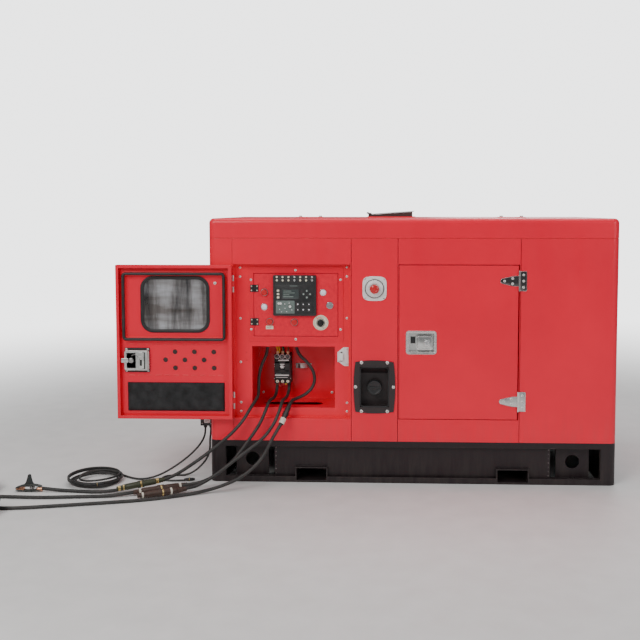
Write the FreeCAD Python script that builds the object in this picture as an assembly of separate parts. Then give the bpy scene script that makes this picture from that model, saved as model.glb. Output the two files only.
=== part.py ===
"""Engine driven welder: a silenced generator set in a sheet steel canopy on a skid base.

Millimetres. X runs along the canopy, to the right seen from the control side. -Y is the control side.
+Z is up. The origin is the middle of the footprint, on the ground.
"""
import FreeCAD, Part
import math
import os

V = FreeCAD.Vector

# ---- driving dimensions: the canopy and its base --------------------------------------------------
LENGTH = 1850.0
DEPTH = 900.0
HEIGHT = 1212.0
BASE_H = 194.0
ROOF_H = 91.0
SHEET = 3.0
CORNER_R = 30.0
ROOF_EDGE_R = 22.0
SEAM = 2.0

# widths of the front, from the left: post, control bay, centre panel, service bay, the rest
POST_W = 113.0
BAY_W = 534.0
CENTRE_W = 215.0
SERVICE_W = 549.0
SILL_H = 103.0
HEADER_H = 117.0
DOOR_GAP = 3.0
DOOR_T = 28.0
REBATE = 35.0
HINGE_OFFSET = 6.0

# skid base
RAIL_T = 6.0
LIP_H = 27.0
WEB_INSET = 22.0
END_POST = 70.0
END_BAY = 224.0
LUG_W = 151.0
LUG_HOLE_R = 32.0
LUG_NOTCH_R = 17.0
LUG_T = 10.0
STRAP_W = 120.0
FORK_X = 460.0
FORK_W = 148.0
FORK_H = 66.0
FORK_WALL = 5.0

# control enclosure and its inner panel, offsets from the lower left corner of the bay
BAY_REF_H = 707.0
ENC_D = 215.0
COMP = (78.0, 43.0, 459.0, 327.0)
FRAME = (62.0, 349.0, 499.0, 693.0)
PANEL = (89.0, 376.0, 473.0, 662.0)
PANEL_T = 2.5
FRAME_T = 3.0
BUTTON_R = 14.0
BUTTON_TRAVEL = 4.0
LABEL_DROP = 27.0
KEY_U = 395.0
KEY_DROP = 32.0

# power side
CRANK_Z = 440.0
GEN_R = 175.0
GEN_L = 500.0
FAN_R = 215.0
RAD_T = 60.0
MUFFLER_R = 72.0
EXHAUST_W = 214.0
EXHAUST_D = 150.0

# fits
PIN_CLEAR = 0.05
SKIN_CLEAR = 0.3
CABLE_D = 15.0
LEAD_D = 9.0

# ---- derived places ------------------------------------------------------------------------------
XL = -LENGTH / 2
XR = LENGTH / 2
F = -DEPTH / 2
B = DEPTH / 2
ROOF_Z = HEIGHT - ROOF_H
X1 = XL + POST_W
X2 = X1 + BAY_W
X3 = X2 + CENTRE_W
X4 = X3 + SERVICE_W
BAY_Z0 = BASE_H + SILL_H
BAY_Z1 = ROOF_Z - HEADER_H
BAY_H = BAY_Z1 - BAY_Z0
KZ = BAY_H / BAY_REF_H
CX = (X2 + X3) / 2
YC = 0.15 * DEPTH
HINGE_Y = F - HINGE_OFFSET

os.makedirs("parts", exist_ok=True)


# ---- helpers -------------------------------------------------------------------------------------
def box(x0, x1, y0, y1, z0, z1):
    return Part.makeBox(x1 - x0, y1 - y0, z1 - z0, V(x0, y0, z0))


def cyl(x, y, z, r, h, d=(0, 0, 1)):
    return Part.makeCylinder(r, h, V(x, y, z), V(*d))


def rod(a, b, r):
    a = V(*a)
    b = V(*b)
    return Part.makeCylinder(r, (b - a).Length, a, b - a)


def cone(x, y, z, r0, r1, h, d=(0, 0, 1)):
    return Part.makeCone(r0, r1, h, V(x, y, z), V(*d))


def fuse(shapes):
    out = shapes[0].multiFuse(list(shapes[1:])) if len(shapes) > 1 else shapes[0]
    return out.removeSplitter()


def cut(shape, tools):
    return shape.cut(list(tools)) if tools else shape


def loop(u0, u1, v0, v1, r, place):
    """A closed rectangle with round corners; place turns (u, v) into a point."""
    r = min(r, 0.49 * (u1 - u0), 0.49 * (v1 - v0))
    k = r * (1 - math.sqrt(0.5))
    edges = []
    corners = ((u1, v0, -1, 1), (u1, v1, -1, -1), (u0, v1, 1, -1), (u0, v0, 1, 1))
    arcs = []
    for i, (u, v, su, sv) in enumerate(corners):
        a = (u + su * r, v)
        b = (u, v + sv * r)
        if i % 2:
            a, b = b, a
        arcs.append((a, (u + su * k, v + sv * k), b))
    for i, (a, m, b) in enumerate(arcs):
        edges.append(Part.Arc(place(*a), place(*m), place(*b)).toShape())
        edges.append(Part.LineSegment(place(*b), place(*arcs[(i + 1) % 4][0])).toShape())
    return Part.Wire(Part.__sortEdges__(edges))


def slab_y(x0, x1, z0, z1, r, y0, y1):
    """Rounded rectangle in the XZ plane, from y0 to y1."""
    wire = loop(x0, x1, z0, z1, r, lambda u, v: V(u, y0, v))
    return Part.Face(wire).extrude(V(0, y1 - y0, 0))


def slab_z(x0, x1, y0, y1, r, z0, z1):
    wire = loop(x0, x1, y0, y1, r, lambda u, v: V(u, v, z0))
    return Part.Face(wire).extrude(V(0, 0, z1 - z0))


def slab_x(y0, y1, z0, z1, r, x0, x1):
    wire = loop(y0, y1, z0, z1, r, lambda u, v: V(x0, u, v))
    return Part.Face(wire).extrude(V(x1 - x0, 0, 0))


def prism(points, direction):
    pts = [V(*p) for p in points]
    return Part.Face(Part.makePolygon(pts + [pts[0]])).extrude(V(*direction))


def barrel_y(x, z, w, h, bulge, y0, y1):
    """A rectangle whose four sides bow outwards, from y0 to y1."""
    a = w / 2 - bulge
    b = h / 2 - bulge
    pts = [(-a, -b), (0, -h / 2), (a, -b), (w / 2, 0), (a, b), (0, h / 2), (-a, b), (-w / 2, 0), (-a, -b)]
    pts = [V(x + u, y0, z + v) for u, v in pts]
    edges = [Part.Arc(pts[i], pts[i + 1], pts[i + 2]).toShape() for i in (0, 2, 4, 6)]
    return Part.Face(Part.Wire(edges)).extrude(V(0, y1 - y0, 0))


def dome_screw(x, y, z, r=6.0, h=3.5, d=(0, -1, 0)):
    """Low round head standing on a face at y, with its axis along d."""
    base = V(x, y, z)
    n = V(*d)
    ball_r = (r * r + h * h) / (2 * h)
    centre = base + n * (h - ball_r)
    return Part.makeSphere(ball_r, centre).common(Part.makeCylinder(r + 1, h + 1, base, n))


def moved(shape, x=0.0, y=0.0, z=0.0):
    out = shape.copy()
    out.translate(V(x, y, z))
    return out


def mirrored_y(shape):
    return shape.mirror(V(0, 0, 0), V(0, 1, 0))


def save(node, *shapes):
    solids = []
    for s in shapes:
        solids += s.Solids
    out = solids[0] if len(solids) == 1 else Part.makeCompound(solids)
    out.exportStep("parts/%s.step" % node)
    print("%-20s %3d solids %12.0f mm3 %s" % (node, len(solids), out.Volume, out.isValid()))


def bay(u, v):
    """Point of the control bay from offsets u, v off its lower left corner."""
    return X1 + u, BAY_Z0 + v * KZ


def ring(inset0, inset1, z0, z1):
    """Walls of the canopy outline between two insets."""
    a = slab_z(XL + inset0, XR - inset0, F + inset0, B - inset0, CORNER_R - inset0, z0, z1)
    b = slab_z(XL + inset1, XR - inset1, F + inset1, B - inset1, max(CORNER_R - inset1, 4), z0 - 1, z1 + 1)
    return a.cut(b)


def butt_hinge(x, y, z, h, r, pin_r, fixed_leaf, moving_leaf, axial=0.5):
    """Three knuckles on one upright pin: the outer two and the pin are fixed, the middle one turns."""
    third = h / 3
    lower = cyl(x, y, z - h / 2, r, third)
    upper = cyl(x, y, z + h / 2 - third, r, third)
    pin = cyl(x, y, z - h / 2, pin_r, h)
    mid_z = z - third / 2 + axial
    mid_h = third - 2 * axial
    room = cyl(x, y, mid_z - axial, r + 0.6, mid_h + 2 * axial)
    fixed = fuse([lower, upper, fixed_leaf.cut(room), pin])
    ends = [cyl(x, y, z - h / 2 - 1, r + 0.6, third + 1 + axial), cyl(x, y, z + h / 2 - third - axial, r + 0.6, third + 9)]
    middle = cyl(x, y, mid_z, r, mid_h)
    moving = fuse([middle, cut(moving_leaf, ends)]).cut(cyl(x, y, z - h, pin_r + PIN_CLEAR, 2 * h))
    return fixed, moving


# ---- skid base -----------------------------------------------------------------------------------
def base_frame():
    top = BASE_H
    skin = ring(0, RAIL_T, 0, top)
    x_in = LENGTH / 2 - END_POST
    y_in = DEPTH / 2 - END_POST
    windows = [box(-x_in, x_in, F - 1, B + 1, LIP_H, top - LIP_H)]
    windows.append(box(XL - 1, XR + 1, -y_in, y_in, LIP_H, top - LIP_H))
    skin = cut(skin, windows)
    web = ring(WEB_INSET, WEB_INSET + RAIL_T, 0, top)
    bays = []
    for s in (-1, 1):
        a, b = sorted((s * x_in, s * (x_in - END_BAY)))
        bays.append(box(a, b, F - 1, B + 1, LIP_H, top - LIP_H))
    web = cut(web, bays)
    deck = slab_z(XL, XR, F, B, CORNER_R, top - RAIL_T, top)
    floor_flange = ring(0, END_POST, 0, RAIL_T)
    parts = [skin, web, deck, floor_flange]
    parts += [box(s * FORK_X - 3, s * FORK_X + 3, F + END_POST, B - END_POST, FORK_H + 4, top) for s in (-1, 1)]
    lug_x = x_in - END_BAY / 2 - 5
    for sx in (-1, 1):
        for sy in (-1, 1):
            y0 = sy * (DEPTH / 2 - 50)
            x = sx * lug_x
            plate = box(x - LUG_W / 2, x + LUG_W / 2, min(y0, y0 - sy * LUG_T), max(y0, y0 - sy * LUG_T), 0, top - 1)
            ya = min(y0, y0 - sy * LUG_T) - 1
            holes = [cyl(x, ya, 95, LUG_HOLE_R, LUG_T + 2, (0, 1, 0))]
            holes.append(cyl(x, ya, RAIL_T, LUG_NOTCH_R, LUG_T + 2, (0, 1, 0)))
            holes.append(cyl(x, ya, top - RAIL_T, LUG_NOTCH_R, LUG_T + 2, (0, 1, 0)))
            floor_keep = box(x - LUG_W / 2, x + LUG_W / 2, ya, ya + LUG_T + 2, 0, RAIL_T)
            parts.append(fuse([cut(plate, holes), floor_keep]))
    for s in (-1, 1):
        parts.append(box(s * FORK_X - FORK_W / 2, s * FORK_X + FORK_W / 2, F + 2, B - 2, 4, 4 + FORK_H))
    parts.append(box(-STRAP_W / 2, STRAP_W / 2, F + END_POST - 5, B - END_POST + 5, 0, RAIL_T))
    frame = fuse(parts)
    tools = []
    for s in (-1, 1):
        w = FORK_W / 2 - FORK_WALL
        tools.append(box(s * FORK_X - w, s * FORK_X + w, F - 1, B + 1, 4 + FORK_WALL, 4 + FORK_H - FORK_WALL))
    tools.append(cyl(CX, F + FILL_Y, 0, NECK_R + 3, BASE_H + 5))
    return cut(frame, tools)


NECK_R = 22.0
FILL_Y = 112.0
TANK_X = 590.0


def fuel_tank():
    z0 = 4 + FORK_H
    z1 = BASE_H - RAIL_T - 2
    halves = []
    for a, b in ((-TANK_X, -FORK_X - 3.3), (-FORK_X + 3.3, FORK_X - 3.3), (FORK_X + 3.3, TANK_X)):
        halves.append(slab_z(a, b, F + END_POST + 12, B - END_POST - 12, 30, z0 + SKIN_CLEAR, z1))
    tank = halves[1]
    zc = filler_z()
    up = cyl(CX, F + FILL_Y, z1 - 2, NECK_R, zc - z1 + 2)
    ball = Part.makeSphere(NECK_R, V(CX, F + FILL_Y, zc))
    out = cyl(CX, F + FILL_Y, zc, NECK_R, FILL_Y - RECESS_D, (0, -1, 0))
    return fuse([tank, up, ball, out])


RECESS_D = 62.0
RECESS = (190.0, 244.0)
RECESS_PAN = (144.0, 196.0)


def filler_z():
    return BAY_Z0 + 149 * KZ


# ---- canopy walls --------------------------------------------------------------------------------
def wall_ring():
    z1 = ROOF_Z
    body = ring(0, SHEET, BASE_H, z1)
    lip = ring(1, 26, z1 - SHEET, z1)
    foot = ring(1, 26, BASE_H, BASE_H + SHEET)
    return fuse([body, lip, foot])


def seam_return(x, z0, z1, depth=24.0):
    return box(x - SHEET / 2, x + SHEET / 2, F + 0.5, F + depth, z0, z1)


def canopy_front(ring_shape):
    d = F + 60
    post = ring_shape.common(box(XL - 1, X1 - 5, F - 1, d, 0, HEIGHT))
    post = fuse([post, box(X1 - 5 - SHEET, X1 - 5, F + 0.5, F + 30, BASE_H, ROOF_Z)])
    centre = ring_shape.common(box(X2 + 3, X3 - 3, F - 1, d, 0, HEIGHT))
    centre = fuse([centre] + [seam_return(x, BASE_H, ROOF_Z) for x in (X2 + 4.5, X3 - 4.5)])
    zc = filler_z()
    w, h = RECESS_PAN
    ez = estop_z()
    centre = cut(centre, [slab_y(CX - w / 2, CX + w / 2, zc - h * KZ / 2, zc + h * KZ / 2, 10, F - 1, F + 9),
                          cyl(CX, F - 1, ez, 16, 9, (0, 1, 0))])
    right = ring_shape.common(box(X4 + 1, XR + 1, F - 1, d, 0, HEIGHT))
    right = fuse([right, seam_return(X4 + 2.5, BASE_H, ROOF_Z)])
    return post, centre, right


def framed_bay(xa, xb, rebate, flange, openings):
    """Strips above and below a doorway, with the folded rebate that the door closes into."""
    t = SHEET
    yr = F + rebate
    header = box(xa, xb, F, F + t, BAY_Z1, ROOF_Z)
    sill = box(xa, xb, F, F + t, BASE_H, BAY_Z0)
    top_lip = box(xa, xb, F, F + 26, ROOF_Z - t, ROOF_Z)
    foot = box(xa, xb, F, F + 26, BASE_H, BASE_H + t)
    walls = [box(xa, xa + t, F, yr, BAY_Z0 - t, BAY_Z1 + t), box(xb - t, xb, F, yr, BAY_Z0 - t, BAY_Z1 + t)]
    walls += [box(xa, xb, F, yr, BAY_Z0 - t, BAY_Z0), box(xa, xb, F, yr, BAY_Z1, BAY_Z1 + t)]
    plate = box(xa, xb, yr, yr + t, BAY_Z0 - t, BAY_Z1 + t)
    if flange:
        inner = box(xa + flange, xb - flange, yr - 1, yr + t + 1, BAY_Z0 + flange, BAY_Z1 - flange)
        plate = plate.cut(inner)
    plate = cut(plate, openings)
    return fuse([header, sill, top_lip, foot, plate] + walls)


def comp_box(y0, y1, grow=0.0):
    xa, za = bay(COMP[0], COMP[1])
    xb, zb = bay(COMP[2], COMP[3])
    return box(xa - grow, xb + grow, y0, y1, za - grow, zb + grow)


def back_room(y0, y1, grow=0.0):
    """Space behind the inner panel."""
    xa, za = bay(FRAME[0] + 24, FRAME[1] + 22)
    xb, zb = bay(FRAME[2] - 22, FRAME[3] - 26)
    return box(xa - grow, xb + grow, y0, y1, za - grow, zb + grow)


def control_bay_panel():
    y0 = F + REBATE - 1
    panel = framed_bay(X1 - 4, X2 + 1, REBATE, 0, [comp_box(y0, y0 + 9), back_room(y0, y0 + 9)])
    holes = []
    for v in (298, 261):
        x, z = bay(54, v)
        holes.append(cyl(x, y0, z, 3.5, 9, (0, 1, 0)))
    return cut(panel, holes)


def service_bay_panel():
    return framed_bay(X3 - 1, X4 - 1, DOOR_T + 4, 24, [])


def louvre(x_face, sign, y, z, w, h=14.0, out=9.0):
    """A pressed louvre on an end wall: a hood that is open underneath."""
    a = x_face
    b = x_face + sign * out
    pts = [(a, y - w / 2, z + h), (a, y - w / 2, z), (b, y - w / 2, z), (b, y - w / 2, z + 2)]
    return prism(pts, (0, w, 0))


def end_wall(ring_shape, sign, rows, w, z_first):
    x0, x1 = (XL - 1, XL + 60) if sign < 0 else (XR - 60, XR + 1)
    wall = ring_shape.common(box(x0, x1, F + 60 + SEAM, B - 60 - SEAM, 0, HEIGHT))
    face = XL if sign < 0 else XR
    hoods = []
    slots = []
    pitch = (ROOF_Z - 70 - z_first) / rows
    for row in range(rows):
        z = z_first + row * pitch
        for col in (-1, 1):
            y = col * (w / 2 + 14)
            hoods.append(louvre(face, sign, y, z, w))
            a, b = sorted((face + sign * 7, face - sign * (SHEET + 2)))
            slots.append(box(a, b, y - w / 2 + 3, y + w / 2 - 3, z - 1, z + 7))
    return cut(fuse([wall] + hoods), slots)


def rear_wall(ring_shape):
    wall = ring_shape.common(box(XL - 1, XR + 1, B - 60, B + 1, 0, HEIGHT))
    wall = wall.cut(box(XL + 60, XR - 60, B - 61, B - 27, 0, HEIGHT))
    pads = []
    slots = []
    screws = []
    z0 = BASE_H + 90
    z1 = ROOF_Z - 90
    for s in (-1, 1):
        x = s * LENGTH * 0.235
        pads.append(slab_y(x - 300, x + 300, z0, z1, 12, B - 1, B + 2.5))
        for u in (-280, 0, 280):
            for z in (z0 + 20, z1 - 20):
                screws.append(dome_screw(x + u, B + 2.5, z, 8, 4, (0, 1, 0)))
        for row in range(6):
            z = z0 + 70 + row * 34
            y = B + 2.5
            pts = [(x - 150, y - 1, z + 14), (x - 150, y - 1, z), (x - 150, y + 9, z), (x - 150, y + 9, z + 2)]
            pads.append(prism(pts, (300, 0, 0)))
            slots.append(box(x - 147, x + 147, B - SHEET - 2, B + 9, z - 1, z + 6))
    return cut(fuse([wall] + pads + screws), slots)


def roof():
    z0 = ROOF_Z + SEAM
    outer = slab_z(XL, XR, F, B, CORNER_R, z0, HEIGHT)
    rim = [e for e in outer.Edges if abs(e.BoundBox.ZMin - HEIGHT) < 1e-6]
    outer = outer.makeFillet(ROOF_EDGE_R, rim)
    t = SHEET
    inner = slab_z(XL + t, XR - t, F + t, B - t, CORNER_R - t, z0 - 1, HEIGHT - t)
    rim = [e for e in inner.Edges if abs(e.BoundBox.ZMin - (HEIGHT - t)) < 1e-6]
    inner = inner.makeFillet(ROOF_EDGE_R - t, rim)
    shell = outer.cut(inner)
    step = ring(t - 1, t + 16, ROOF_Z, z0 + 30).cut(ring(t + 3, t + 60, ROOF_Z + t, z0 + 40))
    shell = fuse([shell, step])
    x, y, w, d = exhaust_place()
    collar = box(x - w / 2 - 10, x + w / 2 + 14, y - d / 2 - 10, y + d / 2 + 10, HEIGHT - 1, HEIGHT + 5)
    shell = fuse([shell, collar])
    hole = box(x - w / 2, x + w / 2, y - d / 2, y + d / 2, HEIGHT - 20, HEIGHT + 20)
    eyes = []
    for s in (-1, 1):
        eyes.append(cut(slab_z(s * 500 - 70, s * 500 + 70, -35, 35, 20, HEIGHT - 1, HEIGHT + 3), []))
    return cut(fuse([shell] + eyes), [hole])


def exhaust_place():
    return CX + 74, DEPTH * 0.06, EXHAUST_W, EXHAUST_D


# ---- control bay ---------------------------------------------------------------------------------
def control_enclosure():
    """Folded box behind the bay: an upper room behind the inner panel and a lower terminal room."""
    t = SHEET
    y0 = F + REBATE + t
    y1 = y0 + ENC_D
    xa, za = bay(14, 12)
    xb, zb = bay(BAY_W - 18, BAY_REF_H - 8)
    outer = box(xa, xb, y0, y1, za, zb)
    comp_low = comp_box(y0 - 1, y1 - t, 0)
    room = back_room(y0 - 1, y1 - t, 0)
    body = cut(outer, [comp_low, room])
    xs, zs = bay(122, COMP[1])
    xe = bay(396, 0)[0]
    slot = slab_z(xs, xe, y0 + 62, y0 + 122, 29, za - 1, zs + 1)
    # hollow out the thick walls from the rear, leaving sheet all round
    hollows = []
    cx0, cz0 = bay(COMP[0], COMP[1])
    cx1, cz1 = bay(COMP[2], COMP[3])
    hollows.append(box(xa + t, cx0 - t, y0 + t, y1 + 1, za + t, zb - t))
    hollows.append(box(cx1 + t, xb - t, y0 + t, y1 + 1, za + t, zb - t))
    hollows[0] = hollows[0].cut(back_room(y0, y1 + 2, t))
    hollows[1] = hollows[1].cut(back_room(y0, y1 + 2, t))
    rz0 = bay(0, FRAME[1] + 22)[1]
    rz1 = bay(0, FRAME[3] - 26)[1]
    hollows.append(box(cx0, cx1, y0 + t, y1 + 1, cz1 + t, rz0 - t))
    hollows.append(box(xa + t, xb - t, y0 + t, y1 + 1, rz1 + t, zb - t))
    hollows.append(box(xa + t, xb - t, y0 + t, y1 + 1, za + t, cz0 - t))
    body = cut(body, hollows + [slot])
    glands = []
    bores = []
    for x, y, z in (ROUTE_C[0], ROUTE_F[0]):
        glands.append(cone(x, y, cz1 - 16, CABLE_D / 2 + 2.5, CABLE_D / 2 + 7, 17))
        bores.append(cyl(x, y, cz1 - 30, CABLE_D / 2 + PIN_CLEAR, 40))
    return cut(fuse([body] + glands), bores)


def panel_frame():
    xa, za = bay(FRAME[0], FRAME[1])
    xb, zb = bay(FRAME[2], FRAME[3])
    pa, pc = bay(PANEL[0] - 2, PANEL[1] - 2)
    pb, pd = bay(PANEL[2] + 2, PANEL[3] + 2)
    plate = slab_y(xa, xb, za, zb, 4, F + REBATE - FRAME_T, F + REBATE)
    return plate.cut(box(pa, pb, F, F + REBATE + 1, pc, pd))


FLANGE_SCREWS_L = (690.0, 648.0, 456.0, 254.0, 66.0, 24.0)
FLANGE_SCREWS_R = (693.0, 650.0, 459.0, 67.0, 27.0)
FRAME_SCREWS = ((280, 679), (75, 634), (75, 406), (486, 635), (486, 407), (280, 361))
BACK_SCREWS = ((98, 319), (432, 113))


def bay_fittings():
    """Loose fittings of the bay: screws, the door keeper and the cable clamp."""
    out = []
    yf = F + REBATE
    for v in FLANGE_SCREWS_L:
        x, z = bay(25, v)
        out.append(dome_screw(x, yf, z))
    for v in FLANGE_SCREWS_R:
        x, z = bay(515, v)
        out.append(dome_screw(x, yf, z))
    for u, v in FRAME_SCREWS:
        x, z = bay(u, v)
        out.append(dome_screw(x, yf - FRAME_T, z))
    y_back = F + REBATE + ENC_D
    for u, v in ((98, 305), (432, 305), (98, 70), (432, 70)):
        x, z = bay(u, v)
        out.append(dome_screw(x, y_back, z, 7, 4))
    x0, z0 = bay(472, 238)
    x1, z1 = bay(505, 325)
    lip = [(x0, yf - 2.5, z0 + 16), (x1, yf - 2.5, z0), (x1, yf - 2.5, z1), (x0, yf - 2.5, z1 - 16)]
    foot = box(x1 - 1, x1 + 17, yf - 2.5, yf, z0 + 4, z1 - 4)
    nose = prism([(x0, yf - 14, z0 + 16), (x0 + 3, yf - 14, z0 + 15), (x0 + 3, yf - 14, z1 - 15), (x0, yf - 14, z1 - 16)], (0, 12, 0))
    keeper = fuse([prism(lip, (0, 2.5, 0)), foot, nose])
    out.append(keeper)
    for v in (316, 248):
        x, z = bay(514, v)
        out.append(dome_screw(x, yf - 2.5, z, 5, 3))
    xc, zc = bay(295, 201)
    strap = box(xc - 38, xc + 38, y_back - 4, y_back, zc - 12, zc + 12)
    saddle = cyl(xc, y_back, zc - 12, 20, 24).common(box(xc - 30, xc + 30, y_back - 30, y_back, 0, HEIGHT))
    out.append(fuse([strap, saddle]))
    for s in (-1, 1):
        out.append(dome_screw(xc + s * 28, y_back - 4, zc, 6, 4))
    return out


def breaker_place():
    xa, za = bay(157, 125)
    xb, zb = bay(244, 283)
    y1 = F + REBATE + ENC_D
    return xa, xb, y1 - 92, y1, za, zb


def circuit_breaker():
    xa, xb, y0, y1, za, zb = breaker_place()
    h = zb - za
    body = slab_y(xa, xb, za + 0.13 * h, zb - 0.15 * h, 3, y0 + 20, y1)
    face = slab_y(xa + 8, xb - 8, za + 0.28 * h, zb - 0.32 * h, 3, y0, y0 + 21)
    parts = [body, face]
    caps = []
    for i in range(3):
        w = (xb - xa) / 3
        x = xa + i * w
        caps.append(slab_y(x + 1, x + w - 1, zb - 0.16 * h, zb, 2, y0 + 26, y1 - 14))
        caps.append(slab_y(x + 1, x + w - 1, za, za + 0.14 * h, 2, y0 + 26, y1 - 14))
    slot = box((xa + xb) / 2 - 7, (xa + xb) / 2 + 7, y0 - 1, y0 + 14, za + 0.40 * h, za + 0.62 * h)
    return fuse([cut(fuse(parts), [slot])] + caps)


def breaker_toggle():
    xa, xb, y0, y1, za, zb = breaker_place()
    x = (xa + xb) / 2
    z = za + 0.51 * (zb - za)
    tip = slab_y(x - 6, x + 6, z + 2, z + 12, 2, y0 - 9, y0 + 9)
    hub = cyl(x - 6.5, y0 + 8, z, 4.5, 13, (1, 0, 0))
    lever = prism([(x - 5, y0 + 7, z - 2), (x - 5, y0 + 4, z + 8), (x - 5, y0 - 3, z + 8), (x - 5, y0 + 3, z - 2)], (10, 0, 0))
    return fuse([hub, lever, tip]), (x, y0 + 8, z)


# ---- inner control panel -------------------------------------------------------------------------
PY = F + REBATE - FRAME_T - 0.5
PANEL_AXIS_Y = PY - 3.5
CTRL = (178.0, 470.0, 375.0, 656.0)
BUTTONS = ((137.0, 577.0), (161.0, 442.0), (274.0, 440.0))
LAMPS = ((136.0, 510.0), (406.0, 577.0))
LOCK = (437.0, 518.0)
STEM_R = 8.0


def panel_hinge(v):
    x, z = bay(PANEL[0] + 2, v)
    fixed_leaf = box(x - 19, x - 2.3, PY - 1.5, PY + 0.5, z - 16.5, z + 16.5)
    fixed_leaf = fixed_leaf.fuse(box(x - 6, x, PY - 3, PY - 0.3, z - 16.5, z + 16.5))
    moving_leaf = box(x, x + 19, PY - 2, PY, z - 16.5, z + 16.5)
    fixed, moving = butt_hinge(x, PANEL_AXIS_Y, z, 33, 3.0, 1.2, fixed_leaf, moving_leaf, 0.4)
    screws = [dome_screw(x + 12, PY - 2, z + s * 9, 3, 1.6) for s in (-1, 1)]
    fixed_screws = [dome_screw(x - 12, PY - 1.5, z + s * 9, 3, 1.6) for s in (-1, 1)]
    return fuse([fixed] + fixed_screws), fuse([moving] + screws)


def control_panel():
    xa, za = bay(PANEL[0], PANEL[1])
    xb, zb = bay(PANEL[2], PANEL[3])
    plate = slab_y(xa, xb, za, zb, 3, PY, PY + PANEL_T)
    ca, cc = bay(CTRL[0] + 8, CTRL[1] + 8)
    cb, cd = bay(CTRL[2] - 8, CTRL[3] - 8)
    tools = [box(ca, cb, PY - 1, PY + 9, cc, cd)]
    for x, z in [bay(*at) for at in BUTTONS + (LOCK,)] + [key_place()]:
        tools.append(cyl(x, PY - 1, z, STEM_R + PIN_CLEAR, 9, (0, 1, 0)))
    edge = [box(xa + 6, xb - 6, PY + PANEL_T, PY + 14, za + 6, za + 8),
            box(xa + 6, xb - 6, PY + PANEL_T, PY + 14, zb - 8, zb - 6)]
    return cut(fuse([plate] + edge), tools)


def key_place():
    """The key switch hangs a fixed drop below the controller."""
    return X1 + KEY_U, BAY_Z0 + CTRL[1] * KZ - KEY_DROP


def controller():
    xa, za = bay(CTRL[0], CTRL[1])
    xb, zb = bay(CTRL[2], CTRL[3])
    front = slab_y(xa, xb, za, zb, 5, PY - 14, PY)
    ca, cc = bay(CTRL[0] + 8, CTRL[1] + 8)
    cb, cd = bay(CTRL[2] - 8, CTRL[3] - 8)
    rear = box(ca + 0.3, cb - 0.3, PY - 1, PY + 42, cc + 0.3, cd - 0.3)
    parts = [front, rear]
    y = PY - 15.5
    sa, sc = bay(222, 552)
    sb, sd = bay(295, 589)
    screen = slab_y(sa, sb, sc, sd, 2, PY - 15, PY - 12)
    for v in (586, 570, 555):
        x, z = bay(200, v)
        parts.append(box(x - 5, x + 5, y, PY - 13, z - 4 * KZ, z + 4 * KZ))
    for u in (292, 317, 343):
        for v in (523, 498):
            x, z = bay(u, v)
            parts.append(cyl(x, y, z, 6.5, 3, (0, 1, 0)))
    for du, dv in ((0, 14), (0, -14), (14, 0), (-14, 0), (0, 0)):
        x, z = bay(333 + du, 570 + dv)
        parts.append(cyl(x, y, z, 5.0, 3, (0, 1, 0)))
    for row in (0, 1):
        for col in range(4):
            x, z = bay(204 + col * 20, 496 + row * 26)
            parts.append(cyl(x, y + 0.5, z, 4.0, 2, (0, 1, 0)))
    return fuse(parts + [screen])


def panel_fittings():
    """Small pieces on the inner panel: rings, lamps, the key switch plate, a blank label, the lamp row."""
    out = []
    for u, v in BUTTONS:
        x, z = bay(u, v)
        outer = cyl(x, PY - 4, z, BUTTON_R + 3, 4, (0, 1, 0))
        out.append(outer.cut(cyl(x, PY - 9, z, BUTTON_R + SKIN_CLEAR, 20, (0, 1, 0))))
    for u, v in LAMPS:
        x, z = bay(u, v)
        out.append(fuse([cyl(x, PY - 3, z, BUTTON_R + 2, 3, (0, 1, 0)), dome_screw(x, PY - 3, z, BUTTON_R, 5)]))
    x, z = key_place()
    out.append(cyl(x, PY - 2, z, 35, 2, (0, 1, 0)).cut(cyl(x, PY - 9, z, STEM_R + 0.4, 20, (0, 1, 0))))
    x, z = bay(*LOCK)
    out.append(cyl(x, PY - 3, z, 17, 3, (0, 1, 0)).cut(cyl(x, PY - 9, z, 15.3, 20, (0, 1, 0))))
    x, z = bay(*BUTTONS[1])
    z -= LABEL_DROP
    out.append(slab_y(x - 18, x + 16, z - 8, z + 8, 1, PY - 1, PY))
    for row in (0, 1):
        for col in range(7):
            x, z = bay(196 + col * 26.8, 633 + row * 15)
            out.append(dome_screw(x, PY - 14, z, 4.6, 2.6))
    return out


def push_button(i):
    x, z = bay(*BUTTONS[i])
    cap = cyl(x, PY - 14, z, BUTTON_R, 9, (0, 1, 0))
    front = [e for e in cap.Edges if abs(e.BoundBox.YMax - (PY - 14)) < 1e-6]
    cap = cap.makeFillet(2.0, front)
    return fuse([cap, cyl(x, PY - 6, z, STEM_R, 26, (0, 1, 0))])


def key_knob():
    x, z = key_place()
    disc = cyl(x, PY - 10, z, 15, 7.5, (0, 1, 0))
    bar = slab_y(x - 5, x + 5, z - 16, z + 16, 4, PY - 24, PY - 9)
    return fuse([disc, bar, cyl(x, PY - 4, z, STEM_R, 22, (0, 1, 0))])


def panel_lock():
    x, z = bay(*LOCK)
    head = cyl(x, PY - 7, z, 15, 6.5, (0, 1, 0)).cut(box(x - 11, x + 11, PY - 8, PY - 4, z - 1.6, z + 1.6))
    tongue = box(x - 7, x + 14, PY + 6, PY + 9, z - 6, z + 6)
    return fuse([head, cyl(x, PY - 2, z, STEM_R, 11, (0, 1, 0)), tongue])


# ---- paddle latch --------------------------------------------------------------------------------
LATCH_W = 140.0
LATCH_H = 108.0
LATCH_PIN_R = 2.0


def latch_pocket(x, z):
    """The hole that a paddle latch needs in its door sheet."""
    return box(x - 57, x + 57, F - 1, F + 30, z - 41, z + 41)


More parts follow.
